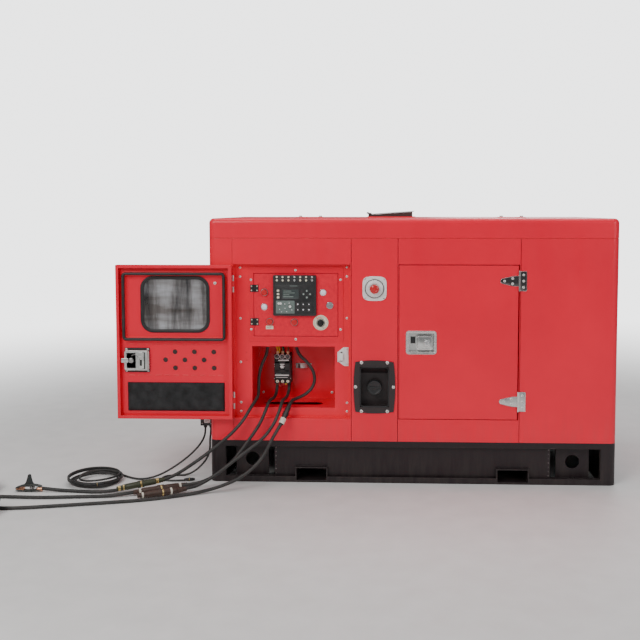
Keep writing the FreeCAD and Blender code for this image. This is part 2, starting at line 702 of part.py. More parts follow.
def paddle_latch(x, z):
    rim = slab_y(x - LATCH_W / 2, x + LATCH_W / 2, z - LATCH_H / 2, z + LATCH_H / 2, 14, F - 3.0, F)
    tray = slab_y(x - 56.5, x + 56.5, z - 40.5, z + 40.5, 8, F - 1, F + 19)
    room = slab_y(x - 54.5, x + 54.5, z - 38.5, z + 38.5, 7, F - 4, F + 17)
    px = x + 40
    pin = cyl(px, F + 3.5, z - 39.5, LATCH_PIN_R, 79)
    works = slab_y(x - 30, x + 44, z - 30, z + 30, 4, F + 18, F + 25)
    dish = fuse([cut(fuse([rim, tray]), [room]), pin, works])
    c = PIN_CLEAR
    knuckle = cyl(px, F + 3.5, z - 33, 4.4, 66)
    plate = slab_y(x - 20, x + 50, z - 33, z + 33, 5, F - 1.6, F + 1.6)
    lip = box(x - 20, x - 16, F - 1, F + 7, z - 26, z + 26)
    barrel = cyl(x + 26, F - 5, z - 2, 11, 6, (0, 1, 0))
    paddle = fuse([knuckle, plate, lip, barrel]).cut(cyl(px, F + 3.5, z - 50, LATCH_PIN_R + c, 100))
    paddle = cut(paddle, [box(x + 25.2, x + 26.8, F - 6, F - 2, z - 7, z + 3)])
    return dish, paddle, (px, F + 3.5, z)


# ---- doors ---------------------------------------------------------------------------------------
def door_pan(xa, xb, za, zb, lip=14.0):
    """A folded sheet door standing in its doorway, outer face flush with the front."""
    t = SHEET
    skin = slab_y(xa, xb, za, zb, 3, F, F + DOOR_T)
    room = slab_y(xa + t, xb - t, za + t, zb - t, 2, F + t, F + DOOR_T - 2)
    mouth = box(xa + lip, xb - lip, F + t, F + DOOR_T + 1, za + lip, zb - lip)
    return cut(skin, [room, mouth])


def turned(shape):
    """From the closed position to the open one, half a turn about the control door's hinge."""
    out = shape.copy()
    out.rotate(V(X1, HINGE_Y, 0), V(0, 0, 1), 180)
    return out


DOOR_GASKET = (31.0, 358.0, 506.0, 673.0)
GASKET_D = 14.0
WINDOW = (264.5, 524.5)
GLASS_W = 288.0
GLASS_H = 230.0
SEAL_W = 15.0
LATCH_AT = (441.5, 269.0)
FOAM = (42.0, 35.0, 487.0, 166.0)
VENTS = ((307.0, (268.0, 179.0, 90.0)), (270.0, (312.0, 223.0, 135.0)), (233.0, (267.0, 178.0, 89.0)))
VENT_R = 11.5
HINGE_V = (618.0, 83.0)


def ring_y(u0, v0, u1, v1, w, r, y0, y1):
    xa, za = bay(u0, v0)
    xb, zb = bay(u1, v1)
    outer = slab_y(xa, xb, za, zb, r, y0, y1)
    return outer.cut(slab_y(xa + w, xb - w, za + w, zb - w, max(r - w, 2), y0 - 1, y1 + 1))


def window_slab(grow, r, y0, y1):
    x, z = bay(*WINDOW)
    w = GLASS_W / 2 + grow
    h = (GLASS_H / 2 + SEAL_W) * KZ - SEAL_W + grow
    return slab_y(x - w, x + w, z - h, z + h, r, y0, y1)


def control_door():
    xa = X1 + DOOR_GAP
    xb = X2 - DOOR_GAP - 1
    za = BAY_Z0 + 2
    zb = BAY_Z1 - 2
    pan = door_pan(xa, xb, za, zb)
    ridge = ring_y(*DOOR_GASKET, 16, 20, F + SHEET - 0.5, F + SHEET + 11)
    beads = []
    lx, lz = bay(*LATCH_AT)
    for v in (341, 199):
        for i in range(11):
            x, z = bay(46 + i * 41, v)
            bead = box(x, x + 25, F + SHEET - 0.5, F + SHEET + 1.6, z - 1.5, z + 1.5)
            beads.append(cut(bead, [box(lx - 59, lx + 59, F, F + 30, lz - 58, lz + 58)]))
    x, z = bay(81, 622)
    beads.append(dome_screw(x, F + SHEET, z, 7, 4, (0, 1, 0)))
    tools = [window_slab(4, 49, F - 1, F + 9)]
    for v, row in VENTS:
        for u in row:
            x, z = bay(u, v)
            tools.append(cyl(x, F - 1, z, VENT_R, 9, (0, 1, 0)))
    x, z = bay(*LATCH_AT)
    tools.append(latch_pocket(x, z))
    return turned(cut(fuse([pan, ridge] + beads), tools))


def window_seal():
    outer = window_slab(SEAL_W, 58, F - 4, F + SHEET + 5)
    body = cut(outer, [window_slab(-1, 44, F - 9, F + 19)])
    grip = window_slab(SEAL_W + 1, 60, F, F + SHEET).cut(window_slab(4, 49, F - 1, F + 9))
    groove = window_slab(3.2, 47.2, F - 0.5, F + 3.5)
    return body.cut(grip).cut(groove)


def door_gasket():
    y = F + SHEET + 11
    g = DOOR_GASKET
    return ring_y(g[0] + 1, g[1] + 1, g[2] - 1, g[3] - 1, GASKET_D, 19, y, y + GASKET_D)


def control_door_latch():
    x, z = bay(*LATCH_AT)
    dish, paddle, axis = paddle_latch(x, z)
    housing = slab_y(x - 57.5, x + 57.5, z - 56, z + 56, 5, F + SHEET, F + SHEET + 3)
    housing = housing.cut(box(x - 58, x + 58, F, F + 20, z - 42, z + 42))
    cover = slab_y(x - 50, x + 50, z - 45, z + 45, 4, F + 19, F + 27)
    tongue = box(x + 40, x + 68, F + 20, F + 26, z - 10, z + 10)
    ears = [box(x - 50, x + 50, F + SHEET, F + 20, z + s * 43 - 1, z + s * 43 + 1) for s in (-1, 1)]
    screws = [dome_screw(x + i * 47, F + SHEET + 3, z + j * 50, 4, 2.5, (0, 1, 0)) for i in (-1, 1) for j in (-1, 1)]
    whole = fuse([dish, housing, cover, tongue] + ears + screws)
    px, py, pz = axis
    return turned(whole), turned(paddle), (2 * X1 - px, 2 * HINGE_Y - py, pz)


def control_hinges():
    fixed = []
    moving = []
    for v in HINGE_V:
        z = BAY_Z0 + v * KZ
        fixed_leaf = box(X1 - 26, X1, F - 2, F, z - 39, z + 39)
        moving_leaf = box(X1 - 26, X1 - 3, F - 12, F - 10, z - 39, z + 39)
        wing = box(X1 - 5, X1 - 1, F - 12, F - 8.5, z - 13, z + 13)
        f, m = butt_hinge(X1, HINGE_Y, z, 78, 4.5, 2.0, fixed_leaf, fuse([moving_leaf, wing]))
        fixed.append(f)
        moving.append(m)
    return fixed, moving


SERVICE_HINGE_V = (634.0, 86.0)
SERVICE_LATCH = (104.0, 353.0)


def service_x():
    return X4 - 7


def service_door():
    x, z = X3 + SERVICE_LATCH[0], BAY_Z0 + SERVICE_LATCH[1] * KZ
    pan = door_pan(X3 + DOOR_GAP + 1, service_x() - DOOR_GAP, BAY_Z0 + 3, BAY_Z1 - 3)
    return cut(pan, [latch_pocket(x, z)])


def service_hinges():
    fixed = []
    moving = []
    xh = service_x()
    for v in SERVICE_HINGE_V:
        z = BAY_Z0 + v * KZ
        tip = 13.0
        strap = prism([(xh - 4, F - 3, z - 25), (xh - 84 + tip, F - 3, z - tip), (xh - 84 + tip, F - 3, z + tip),
                       (xh - 4, F - 3, z + 25)], (0, 3, 0))
        end = cyl(xh - 84 + tip, F - 3, z, tip, 3, (0, 1, 0))
        root = box(xh - 6, xh, F - 6, F, z - 14, z + 14)
        leaf = slab_y(xh + 2, xh + 34, z - 43, z + 43, 6, F - 3, F)
        web = box(xh, xh + 6, F - 5, F, z - 43, z + 43)
        f, m = butt_hinge(xh, HINGE_Y, z, 90, 4.5, 2.2, fuse([leaf, web]), fuse([strap, end, root]))
        m = m.cut(box(xh - 90, xh + 40, F, F + 20, z - 60, z + 60))
        fixed.append(f)
        moving.append(m)
        fixed += [dome_screw(xh + 19, F - 3, z + s * 28, 4.5, 2.6) for s in (-1, 0, 1)]
        for u, w in ((-66, 0), (-30, 12), (-30, -12)):
            moving.append(dome_screw(xh + u, F - 3, z + w, 4.5, 2.6))
    return fixed, moving


# ---- centre panel --------------------------------------------------------------------------------
ESTOP_R = 20.5
ESTOP_STEM_R = 11.0
CAP_R = 34.0


def estop_z():
    return BAY_Z0 + 598 * KZ


def estop_bezel():
    z = estop_z()
    plate = barrel_y(CX, z, 109, 112, 4, F - 4, F)
    guard = cyl(CX, F - 12, z, 42.5, 12, (0, 1, 0)).cut(cyl(CX, F - 13, z, 36, 7, (0, 1, 0)))
    sleeve = cyl(CX, F - 14, z, 15.5, 34, (0, 1, 0))
    bore = cyl(CX, F - 20, z, ESTOP_STEM_R + PIN_CLEAR, 60, (0, 1, 0))
    screws = [dome_screw(CX + i * 43, F - 4, z + j * 44, 5, 2.5) for i in (-1, 1) for j in (-1, 1)]
    return [cut(fuse([plate, guard, sleeve]), [bore])] + screws


def estop_button():
    z = estop_z()
    head = cyl(CX, F - 40, z, ESTOP_R, 16, (0, 1, 0))
    front = [e for e in head.Edges if abs(e.BoundBox.YMax - (F - 40)) < 1e-6]
    head = head.makeFillet(6.0, front)
    return fuse([head, cyl(CX, F - 26, z, ESTOP_STEM_R, 60, (0, 1, 0))])


def filler_recess():
    z = filler_z()
    w, h = RECESS_PAN
    k = KZ
    flange = barrel_y(CX, z, RECESS[0], RECESS[1] * k, 8, F - 4, F)
    pan = slab_y(CX - w / 2 + 1, CX + w / 2 - 1, z - h * k / 2 + 1, z + h * k / 2 - 1, 9, F - 1, F + RECESS_D)
    room = slab_y(CX - w / 2 + 5, CX + w / 2 - 5, z - h * k / 2 + 5, z + h * k / 2 - 5, 6, F - 5, F + RECESS_D - 3)
    brow = prism([(CX - w / 2 + 4, F + 2, z + h * k / 2 - 4), (CX - w / 2 + 4, F + RECESS_D - 3, z + h * k / 2 - 4),
                  (CX - w / 2 + 4, F + RECESS_D - 3, z + h * k / 2 - 44 * k)], (w - 8, 0, 0))
    neck = cyl(CX, F + RECESS_D - 16, z - 8 * k, 26, 14, (0, 1, 0))
    neck_bore = cyl(CX, F + RECESS_D - 17, z - 8 * k, 19.3, 30, (0, 1, 0))
    body = fuse([cut(fuse([flange, pan]), [room]), brow, neck]).cut(neck_bore)
    screws = [dome_screw(CX + i * 59, F - 4, z + j * 112 * k, 6, 3.5) for i in (-1, 1) for j in (-1, 1)]
    screws += [dome_screw(CX + i * 86, F - 4, z, 6, 3.5) for i in (-1, 1)]
    return [body] + screws


def filler_cap():
    z = filler_z() - 8 * KZ
    y = F + RECESS_D - 16
    cap = cyl(CX, y - 22, z, CAP_R, 21.5, (0, 1, 0))
    front = [e for e in cap.Edges if abs(e.BoundBox.YMax - (y - 22)) < 1e-6]
    cap = cap.makeFillet(4.0, front)
    grip = slab_y(CX - 25, CX + 25, z - 6, z + 6, 3, y - 30, y - 21)
    flutes = []
    for i in range(18):
        a = math.radians(20 * i)
        flutes.append(cyl(CX + (CAP_R + 1) * math.cos(a), y - 16, z + (CAP_R + 1) * math.sin(a), 2.2, 30, (0, 1, 0)))
    plug = cyl(CX, y - 1, z, 19.2, 13, (0, 1, 0))
    return fuse([cut(cap, flutes), grip, plug]), (CX, y, z)


# ---- power side ----------------------------------------------------------------------------------
def power_places():
    rad_x1 = XR - 205
    rad_x0 = rad_x1 - RAD_T
    fan_x = rad_x0 - 52
    gen_x0 = X1 + 60
    gen_x1 = gen_x0 + GEN_L
    return gen_x0, gen_x1, fan_x, rad_x0, rad_x1


def generator():
    gx0, gx1, fan_x, rx0, rx1 = power_places()
    body = cyl(gx0 + 30, YC, CRANK_Z, GEN_R - 8, GEN_L - 60, (1, 0, 0))
    fins = []
    for i in range(24):
        a = math.radians(15 * i)
        fin = box(gx0 + 60, gx1 - 60, YC - 3, YC + 3, CRANK_Z + GEN_R - 12, CRANK_Z + GEN_R)
        fin.rotate(V(0, YC, CRANK_Z), V(1, 0, 0), math.degrees(a))
        fins.append(fin)
    bells = [cyl(gx0, YC, CRANK_Z, GEN_R - 20, 36, (1, 0, 0)), cyl(gx1 - 40, YC, CRANK_Z, GEN_R, 40, (1, 0, 0))]
    top = slab_z(gx0 + 90, gx1 - 90, YC - 90, YC + 90, 8, CRANK_Z + GEN_R - 30, CRANK_Z + GEN_R + 70)
    feet = []
    for s in (-1, 1):
        y = YC + s * 110
        feet.append(box(gx0 + 60, gx1 - 60, y - 22, y + 22, BASE_H + 42, CRANK_Z - 90))
        for x in (gx0 + 90, gx1 - 90):
            feet.append(cyl(x, y, BASE_H, 28, 43))
    return fuse([body, top] + bells + feet + fins)


def engine():
    gx0, gx1, fan_x, rx0, rx1 = power_places()
    x0 = gx1
    x1 = fan_x - 62
    z = CRANK_Z
    w = 105
    parts = [cyl(x0, YC, z, GEN_R, 46, (1, 0, 0))]
    parts.append(slab_x(YC - w, YC + w, z - 70, z + 190, 14, x0 + 40, x1))
    parts.append(slab_x(YC - w + 16, YC + w - 16, z - 170, z - 66, 22, x0 + 60, x1 - 20))
    parts.append(slab_x(YC - w + 20, YC + w - 20, z + 186, z + 262, 10, x0 + 50, x1 - 14))
    parts.append(slab_x(YC - w + 44, YC + w - 44, z + 258, z + 312, 24, x0 + 64, x1 - 28))
    runners = 3
    pitch = (x1 - x0 - 110) / runners
    for i in range(runners):
        x = x0 + 60 + pitch * (i + 0.5)
        parts.append(cyl(x, YC - w + 30, z + 226, 21, 62, (0, -1, 0)))
        parts.append(cyl(x, YC + w - 30, z + 226, 19, 60, (0, 1, 0)))
        parts.append(cyl(x, YC - 6, z + 300, 11, 30))
    xm = (x0 + x1) / 2
    parts.append(cyl(x0 + 70, YC - w - 34, z + 226, 27, x1 - x0 - 110, (1, 0, 0)))
    parts.append(cyl(x0 + 70, YC + w + 30, z + 226, 24, x1 - x0 - 110, (1, 0, 0)))
    # air cleaner over the service side, oil filter and alternator below it
    parts.append(cyl(xm - 110, YC - w - 60, z + 350, 68, 220, (1, 0, 0)))
    parts.append(cyl(xm, YC - w - 50, z + 240, 24, 60))
    parts.append(cyl(xm + 20, YC - w + 8, z + 40, 38, 88, (0, -1, 0)))
    parts.append(cyl(x1 - 130, YC - w - 56, z + 60, 52, 96, (1, 0, 0)))
    parts.append(cyl(x1 - 44, YC - w - 56, z + 60, 34, 30, (1, 0, 0)))
    parts.append(box(x1 - 100, x1 - 70, YC - w - 30, YC - w + 4, z + 30, z + 90))
    parts.append(cyl(x1 - 8, YC, z, 74, 34, (1, 0, 0)))
    parts.append(cyl(x1 - 8, YC, fan_z(), 44, 34, (1, 0, 0)))
    parts.append(cyl(x1 + 10, YC, fan_z(), FAN_SHAFT_R, fan_x + 24 - x1 - 10, (1, 0, 0)))
    for sy in (-1, 1):
        for x in (x0 + 90, x1 - 70):
            y = YC + sy * (w + 26)
            parts.append(box(x - 26, x + 26, min(y - sy * 50, y + sy * 26), max(y - sy * 50, y + sy * 26), z - 60, z - 46))
            parts.append(cyl(x, y, BASE_H, 27, 52))
            parts.append(cyl(x, y, BASE_H + 52, 9, z - 46 - BASE_H - 52 + 14))
            parts.append(cyl(x, y, BASE_H + 50, 22, z - 60 - BASE_H - 49))
    ex_x = exhaust_place()[0]
    parts.append(cyl(x0 + 110, YC + w + 30, z + 226, 22, muffler_z() - MUFFLER_R - z - 226))
    return fuse(parts)


FAN_SHAFT_R = 12.0


def fan_z():
    return CRANK_Z + 140


def muffler_z():
    return ROOF_Z - 30 - MUFFLER_R


def fan():
    gx0, gx1, fan_x, rx0, rx1 = power_places()
    z = fan_z()
    hub = cyl(fan_x - 22, YC, z, 46, 44, (1, 0, 0))
    blades = []
    for i in range(7):
        blade = box(fan_x - 2, fan_x + 2, YC - 40, YC + 40, z + 34, z + FAN_R)
        blade.rotate(V(fan_x, YC, z), V(0, 0, 1), 28)
        blade = blade.common(cyl(fan_x - 40, YC, z, FAN_R, 80, (1, 0, 0)))
        blade.rotate(V(fan_x, YC, z), V(1, 0, 0), 360.0 / 7 * i)
        blades.append(blade)
    bore = cyl(fan_x - 60, YC, z, FAN_SHAFT_R + PIN_CLEAR, 120, (1, 0, 0))
    return fuse([hub] + blades).cut(bore), (fan_x, YC, z)


def radiator():
    gx0, gx1, fan_x, x0, x1 = power_places()
    z = fan_z()
    ya, yb = YC - 245, YC + 245
    core = box(x0 + 8, x1 - 8, ya + 10, yb - 10, z - 230, z + 230)
    tanks = [slab_x(ya, yb, z + 224, z + 290, 20, x0, x1), slab_x(ya, yb, z - 290, z - 224, 20, x0, x1)]
    sides = [box(x0, x1, a, a + 12, z - 240, z + 240) for a in (ya, yb - 12)]
    feet = [box(x0 - 8, x1 + 30, y - 30, y + 30, BASE_H, BASE_H + 8) for y in (ya + 50, yb - 50)]
    legs = [box(x0 + 10, x1 - 10, y - 24, y + 24, BASE_H, z - 280) for y in (ya + 50, yb - 50)]
    cap = cyl((x0 + x1) / 2, YC - 120, z + 288, 26, 22)
    return fuse([core, cap] + tanks + sides + feet + legs)


def battery():
    x0 = X3 + 90
    y0 = F + 70
    case = slab_z(x0, x0 + 240, y0, y0 + 172, 6, BASE_H, BASE_H + 190)
    lid = slab_z(x0 - 3, x0 + 243, y0 - 3, y0 + 175, 6, BASE_H + 190, BASE_H + 206)
    posts = [cyl(x0 + u, y0 + 30, BASE_H + 205, 9, 18) for u in (30, 210)]
    strap = box(x0 + 110, x0 + 130, y0 - 6, y0 + 178, BASE_H + 206, BASE_H + 210)
    hooks = [box(x0 + 112, x0 + 128, y, y + 3, BASE_H, BASE_H + 208) for y in (y0 - 6.5, y0 + 175.5)]
    return fuse([case, lid, strap] + posts + hooks)


def muffler():
    x, y, w, d = exhaust_place()
    z = muffler_z()
    gx0, gx1, fan_x, rx0, rx1 = power_places()
    yd = YC + 135
    can = cyl(x - 190, yd, z, MUFFLER_R, 420, (1, 0, 0))
    ends = [cone(x - 212, yd, z, MUFFLER_R - 24, MUFFLER_R, 22, (1, 0, 0)),
            cone(x + 230, yd, z, MUFFLER_R, MUFFLER_R - 24, 22, (1, 0, 0))]
    straps = [box(x + u - 15, x + u + 15, yd - 5, yd + 5, z + MUFFLER_R - 6, HEIGHT - SHEET) for u in (-150, 190)]
    elbow = cyl(x, yd - MUFFLER_R + 12, z + 10, 30, yd - MUFFLER_R + 12 - y, (0, -1, 0))
    ball = Part.makeSphere(30, V(x, y, z + 10))
    riser = cyl(x, y, z + 10, 30, HEIGHT - 40 - z - 10)
    flange = cyl(x, y, HEIGHT - 48, 44, 8)
    return fuse([can, elbow, ball, riser, flange] + ends + straps)


CAP_SLOPE = 14.0
CAP_PIN_R = 2.5


def exhaust_outlet():
    """Sheet duct through the roof whose rim slopes up to the right, with ears for the rain flap."""
    x, y, w, d = exhaust_place()
    a = x - w / 2 + 1
    b = x + w / 2 - 1
    z0 = HEIGHT - 40
    z1 = HEIGHT + 14
    outer = prism([(a, y - d / 2 + 1, z0), (b, y - d / 2 + 1, z0), (b, y - d / 2 + 1, z1 + CAP_SLOPE),
                   (a, y - d / 2 + 1, z1)], (0, d - 2, 0))
    room = box(a + SHEET, b - SHEET, y - d / 2 + 1 + SHEET, y + d / 2 - 1 - SHEET, z0 + SHEET, z1 + 60)
    mouth = cyl(x, y, z0 - 1, 30, 9)
    ears = [box(a - 8, a + 6, y + s * 46 - 2, y + s * 46 + 2, HEIGHT + 5, z1 + 9) for s in (-1, 1)]
    pin = cyl(a - 3, y - 48, z1 + 4, CAP_PIN_R, 96, (0, 1, 0))
    return fuse([cut(outer, [room, mouth])] + ears + [pin])


def rain_cap():
    x, y, w, d = exhaust_place()
    a = x - w / 2 + 1
    b = x + w / 2 - 1
    z1 = HEIGHT + 14
    g = 1.0
    slope = CAP_SLOPE / (b - a)
    za = z1 + g
    zb = z1 + CAP_SLOPE + g + slope * 8
    plate = prism([(a + 2, y - d / 2 - 4, za + 2 * slope), (b + 8, y - d / 2 - 4, zb),
                   (b + 8, y - d / 2 - 4, zb + 3), (a + 2, y - d / 2 - 4, za + 3 + 2 * slope)], (0, d + 8, 0))
    plate = cut(plate, [box(a - 9, a + 14, y + s * 46 - 3, y + s * 46 + 3, z1 - 9, z1 + 30) for s in (-1, 1)])
    knuckle = cyl(a - 3, y - 40, z1 + 4, 4.4, 80, (0, 1, 0))
    bridge = box(a - 3, a + 12, y - 40, y + 40, z1 + 2.2, z1 + 5.2)
    weight = box(a - 16, a - 7, y - 22, y + 22, z1 + 4, z1 + 13)
    arm = box(a - 10, a - 3, y - 12, y + 12, z1 + 4, z1 + 8)
    bore = cyl(a - 3, y - 60, z1 + 4, CAP_PIN_R + PIN_CLEAR, 120, (0, 1, 0))
    return fuse([plate, knuckle, bridge, weight, arm]).cut(bore), (a - 3, y, z1 + 4)


SOCKET = (61.0, 70.0, 51.0)
SOCKET_Y = 62.0
SOCKET_Z = 243.0


def output_socket():
    """Moulded socket block low on the left wall, with two glands underneath."""
    w, d, h = SOCKET
    y0 = F + SOCKET_Y + 6
    block = slab_z(XL - w, XL, y0, y0 + d, 5, SOCKET_Z, SOCKET_Z + h)
    plate = slab_x(y0 - 8, y0 + d + 8, SOCKET_Z - 8, SOCKET_Z + h + 8, 6, XL - 4, XL)
    label = box(XL - w + 8, XL - 8, y0 - 1, y0 + 2, SOCKET_Z + 22, SOCKET_Z + h - 8)
    glands = [cone(x, y0 + d / 2, SOCKET_Z - 16, 7.5, 10, 17) for x in (GLAND_A, GLAND_B)]
    bores = [cyl(x, y0 + d / 2, SOCKET_Z - 17, LEAD_D / 2 + PIN_CLEAR, 14) for x in (GLAND_A, GLAND_B)]
    return cut(fuse([block, plate, label] + glands), bores)


GLAND_A = XL - 44.0
GLAND_B = XL - 18.0


# ---- free leads ----------------------------------------------------------------------------------
ROUTE_C = [(-675, -320, 623), (-675, -320, 596), (-684, -326, 562), (-704, -334, 522), (-714, -341, 474),
           (-715, -349, 428), (-712, -374, 388), (-718, -420, 374), (-736, -464, 348), (-760, -479, 304),
           (-790, -490, 266), (-834, -506, 222), (-915, -528, 158), (-1000, -544, 98), (-1074, -552, 52),
           (-1135, -573, 36), (-1235, -614, 23), (-1310, -640, 12), (-1400, -652, 7.5), (-1500, -640, 7.5),
           (-1580, -634, 10), (-1648, -632, 16)]
ROUTE_D = [(-640, -245, 421), (-641, -247, 396), (-643, -267, 374), (-647, -314, 363), (-652, -370, 369),
           (-656, -422, 371), (-664, -466, 344), (-686, -490, 286), (-726, -510, 226), (-796, -540, 130),
           (-870, -553, 66), (-938, -556, 29), (-1010, -562, 17), (-1115, -615, 16), (-1222, -676, 16),
           (-1320, -706, 8), (-1450, -716, 7.5), (-1600, -734, 7.5), (-1734, -730, 7.5), (-1850, -724, 7.5),
           (-1935, -726, 7.5)]
ROUTE_E = [(-583, -245, 421), (-583, -247, 396), (-585, -268, 374), (-590, -316, 363), (-594, -372, 369),
           (-596, -424, 371), (-601, -470, 342), (-622, -498, 286), (-668, -528, 222), (-765, -560, 154),
           (-872, -584, 72), (-945, -598, 28), (-1000, -618, 17), (-1060, -649, 16)]
ROUTE_F = [(-540, -320, 623), (-540, -320, 598), (-522, -326, 566), (-488, -331, 538), (-460, -335, 500),
           (-450, -339, 456), (-464, -344, 416), (-498, -356, 386), (-536, -388, 376), (-553, -432, 374),
           (-566, -476, 344), (-590, -506, 286), (-630, -526, 222), (-668, -542, 140), (-736, -574, 74),
           (-820, -602, 34), (-920, -634, 10), (-1030, -696, 7.5), (-1170, -756, 7.5), (-1330, -796, 7.5),
           (-1500, -838, 7.5), (-1650, -872, 7.5), (-1735, -876, 7.5), (-1800, -869.5, 7.5)]
ROUTE_A = [(GLAND_A, -347, 238), (GLAND_A, -347, 208), (-976, -350, 176), (-1000, -357, 138), (-1042, -370, 96),
           (-1096, -388, 56), (-1150, -412, 26), (-1204, -440, 9), (-1258, -450, 5), (-1306, -427, 5),
           (-1362, -380, 5)]
ROUTE_B = [(GLAND_B, -347, 238), (GLAND_B, -347, 208), (-948, -349, 172), (-947, -352, 136), (-952, -356, 102),
           (-968, -360, 70), (-994, -366, 42), (-1024, -372, 18), (-1060, -377, 5), (-1098, -378, 4.5),
           (-1130, -383, 4.5), (-1153, -402, 4.5), (-1159, -430, 4.5), (-1143, -454, 4.5), (-1114, -464, 4.5),
           (-1078, -462, 4.5), (-1042, -455, 4.5)]
COIL_R = 82.5
COIL_D = (-1935.0, -643.5)
COIL_F = (-1800.0, -952.0)
COIL_A = (-1446.0, -480.0)
COIL_A_R = 131.0


def cord(name, points, dia):
    """A tube along straight runs joined by tangent arcs, each as large as its two runs allow."""
    pts = [V(*p) for p in points]
    edges = []
    last = pts[0]
    length = 0.0
    tightest = 1e9
    for i in range(1, len(pts) - 1):
        a = pts[i - 1] - pts[i]
        b = pts[i + 1] - pts[i]
        run = min(a.Length, b.Length)
        turn = math.pi - a.getAngle(b)
        radius = 0.45 * run / math.tan(turn / 2)
        tightest = min(tightest, radius)
        p = pts[i] + a.normalize() * (0.45 * run)
        q = pts[i] + b.normalize() * (0.45 * run)
        bisector = (a + b).normalize()
        mid = pts[i] + bisector * (radius / math.cos(turn / 2) - radius)
        edges.append(Part.LineSegment(last, p).toShape())
        edges.append(Part.Arc(p, mid, q).toShape())
        length += (p - last).Length + radius * turn
        last = q
    edges.append(Part.LineSegment(last, pts[-1]).toShape())
    length += (pts[-1] - last).Length
    path = Part.Wire(edges)
    start = pts[1] - pts[0]
    profile = Part.Wire(Part.makeCircle(dia / 2, pts[0], start))
    tube = path.makePipeShell([profile], True, True)
    share = tube.Volume / (math.pi * dia * dia / 4 * length)
    print("cord %s: length %.0f, tightest radius %.0f (%.1f dia), volume share %.4f" % (
        name, length, tightest, tightest / dia, share))
    return tube


def coil(x, y, r, w, h):
    """Closed outer shape of a round coil lying on the ground."""
    ring_wire = loop(r - w / 2, r + w / 2, 0, h, min(w, h) * 0.3, lambda u, v: V(x + u, y, v))
    return Part.Face(ring_wire).revolve(V(x, y, 0), V(0, 0, 1), 360)


def coupler(a, b, r, collar):
    """Round cable connector: a body with a collar at its middle and a tapered boot at each end."""
    a = V(*a)
    b = V(*b)
    n = (b - a).normalize()
    size = (b - a).Length
    body = Part.makeCylinder(r, size * 0.6, a + n * (size * 0.2), n)
    mid = Part.makeCylinder(r + collar, size * 0.12, a + n * (size * 0.44), n)
    boots = [Part.makeCone(r * 0.62, r, size * 0.2 + 0.5, a, n), Part.makeCone(r, r * 0.62, size * 0.2, b - n * (size * 0.2), n)]
    return fuse([body, mid] + boots)


def couplers():
    c = coupler((-1110, -563, 41), (-1306, -641, 20), 14, 2)
    d = coupler((-1010, -558, 17), (-1222, -676, 16), 14, 2)
    e = coupler((-1000, -618, 17), (-1190, -722, 16), 14, 2)
    f = coupler((-556, -446, 366), (-592, -508, 282), 12, 1.5)
    plug_a = coupler((-1430, -617, 28.6), (-1376, -600, 28.6), 7, 1.5)
    plug_b = coupler((-1048, -456.5, 8.5), (-1000, -448, 8.5), 7, 1.5)
    plug_f = coupler((COIL_F[0] - 60, COIL_F[1] + 82.5, 46 + 12.7), (COIL_F[0] + 60, COIL_F[1] + 60, 46 + 12.7), 12, 0.5)
    return [c, d, e, f, plug_a, plug_b, plug_f]


def work_clamp():
    """Ground clamp lying on its side plate, jaws to the left, with an upright spring lever."""
    x = -1640.0
    y = -632.0
    handle = coupler((x, y, 17), (x - 40, y, 22), 11, 1)
    lower = prism([(x - 30, y - 11, 4), (x - 116, y - 11, 2), (x - 122, y - 11, 12), (x - 34, y - 11, 24)], (0, 22, 0))
    upper = prism([(x - 34, y - 9, 22), (x - 70, y - 9, 30), (x - 120, y - 9, 13), (x - 118, y - 9, 21),
                   (x - 76, y - 9, 44), (x - 40, y - 9, 34)], (0, 18, 0))
    fin = prism([(x - 52, y - 8, 30), (x - 66, y - 8, 80), (x - 78, y - 8, 80), (x - 84, y - 8, 34)], (0, 16, 0))
    rivet = cyl(x - 60, y - 13, 27, 5, 26, (0, 1, 0))
    foot = box(x - 112, x - 36, y - 10, y + 10, 0, 6)
    return fuse([handle, lower, upper, fin, rivet, foot])


def electrode_holder():
    """Tong type holder lying across its coil."""
    x, y = COIL_D
    z = 46 + 15.2
    handle = cyl(x + 20, y - 100, z, 15, 130, (0, 1, 0))
    guard = cyl(x + 20, y + 26, z, 19, 8, (0, 1, 0)).common(box(x - 40, x + 80, y, y + 60, 46.2, z + 40))
    jaw = prism([(x + 10, y + 30, z - 12), (x + 10, y + 112, z - 8), (x + 10, y + 112, z - 2), (x + 10, y + 30, z - 1)], (20, 0, 0))
    tong = prism([(x + 11, y + 30, z + 2), (x + 11, y + 110, z - 1), (x + 11, y + 110, z + 5), (x + 11, y + 30, z + 11)], (18, 0, 0))
    lever = prism([(x + 13, y + 46, z + 8), (x + 13, y - 44, z + 32), (x + 13, y - 46, z + 26), (x + 13, y + 30, z + 4)], (14, 0, 0))
    return fuse([handle, guard, jaw, tong, lever])


# ---- build every piece ---------------------------------------------------------------------------
walls = wall_ring()
save("base_frame", base_frame())
save("fuel_tank", fuel_tank())
post, centre, right = canopy_front(walls)
save("left_post_panel", post)
save("centre_panel", centre)
save("right_panel", right)
save("control_bay_panel", control_bay_panel())
save("service_bay_panel", service_bay_panel())
save("left_end_wall", end_wall(walls, -1, 9, 320, BASE_H + 190))
save("right_end_wall", end_wall(walls, 1, 16, 360, BASE_H + 70))
save("rear_wall", rear_wall(walls))
save("roof", roof())
save("control_enclosure", control_enclosure())
save("panel_frame", panel_frame())
save("bay_fittings", *bay_fittings())
save("circuit_breaker", circuit_breaker())
toggle, toggle_axis = breaker_toggle()
save("breaker_toggle", toggle)
hinges = [panel_hinge(595), panel_hinge(441)]
fixed_c, moving_c = control_hinges()
fixed_s, moving_s = service_hinges()
save("hinge_fixed_leaves", *(fixed_c + fixed_s + [h[0] for h in hinges]))
save("control_panel", control_panel(), *[h[1] for h in hinges])
save("controller", controller())
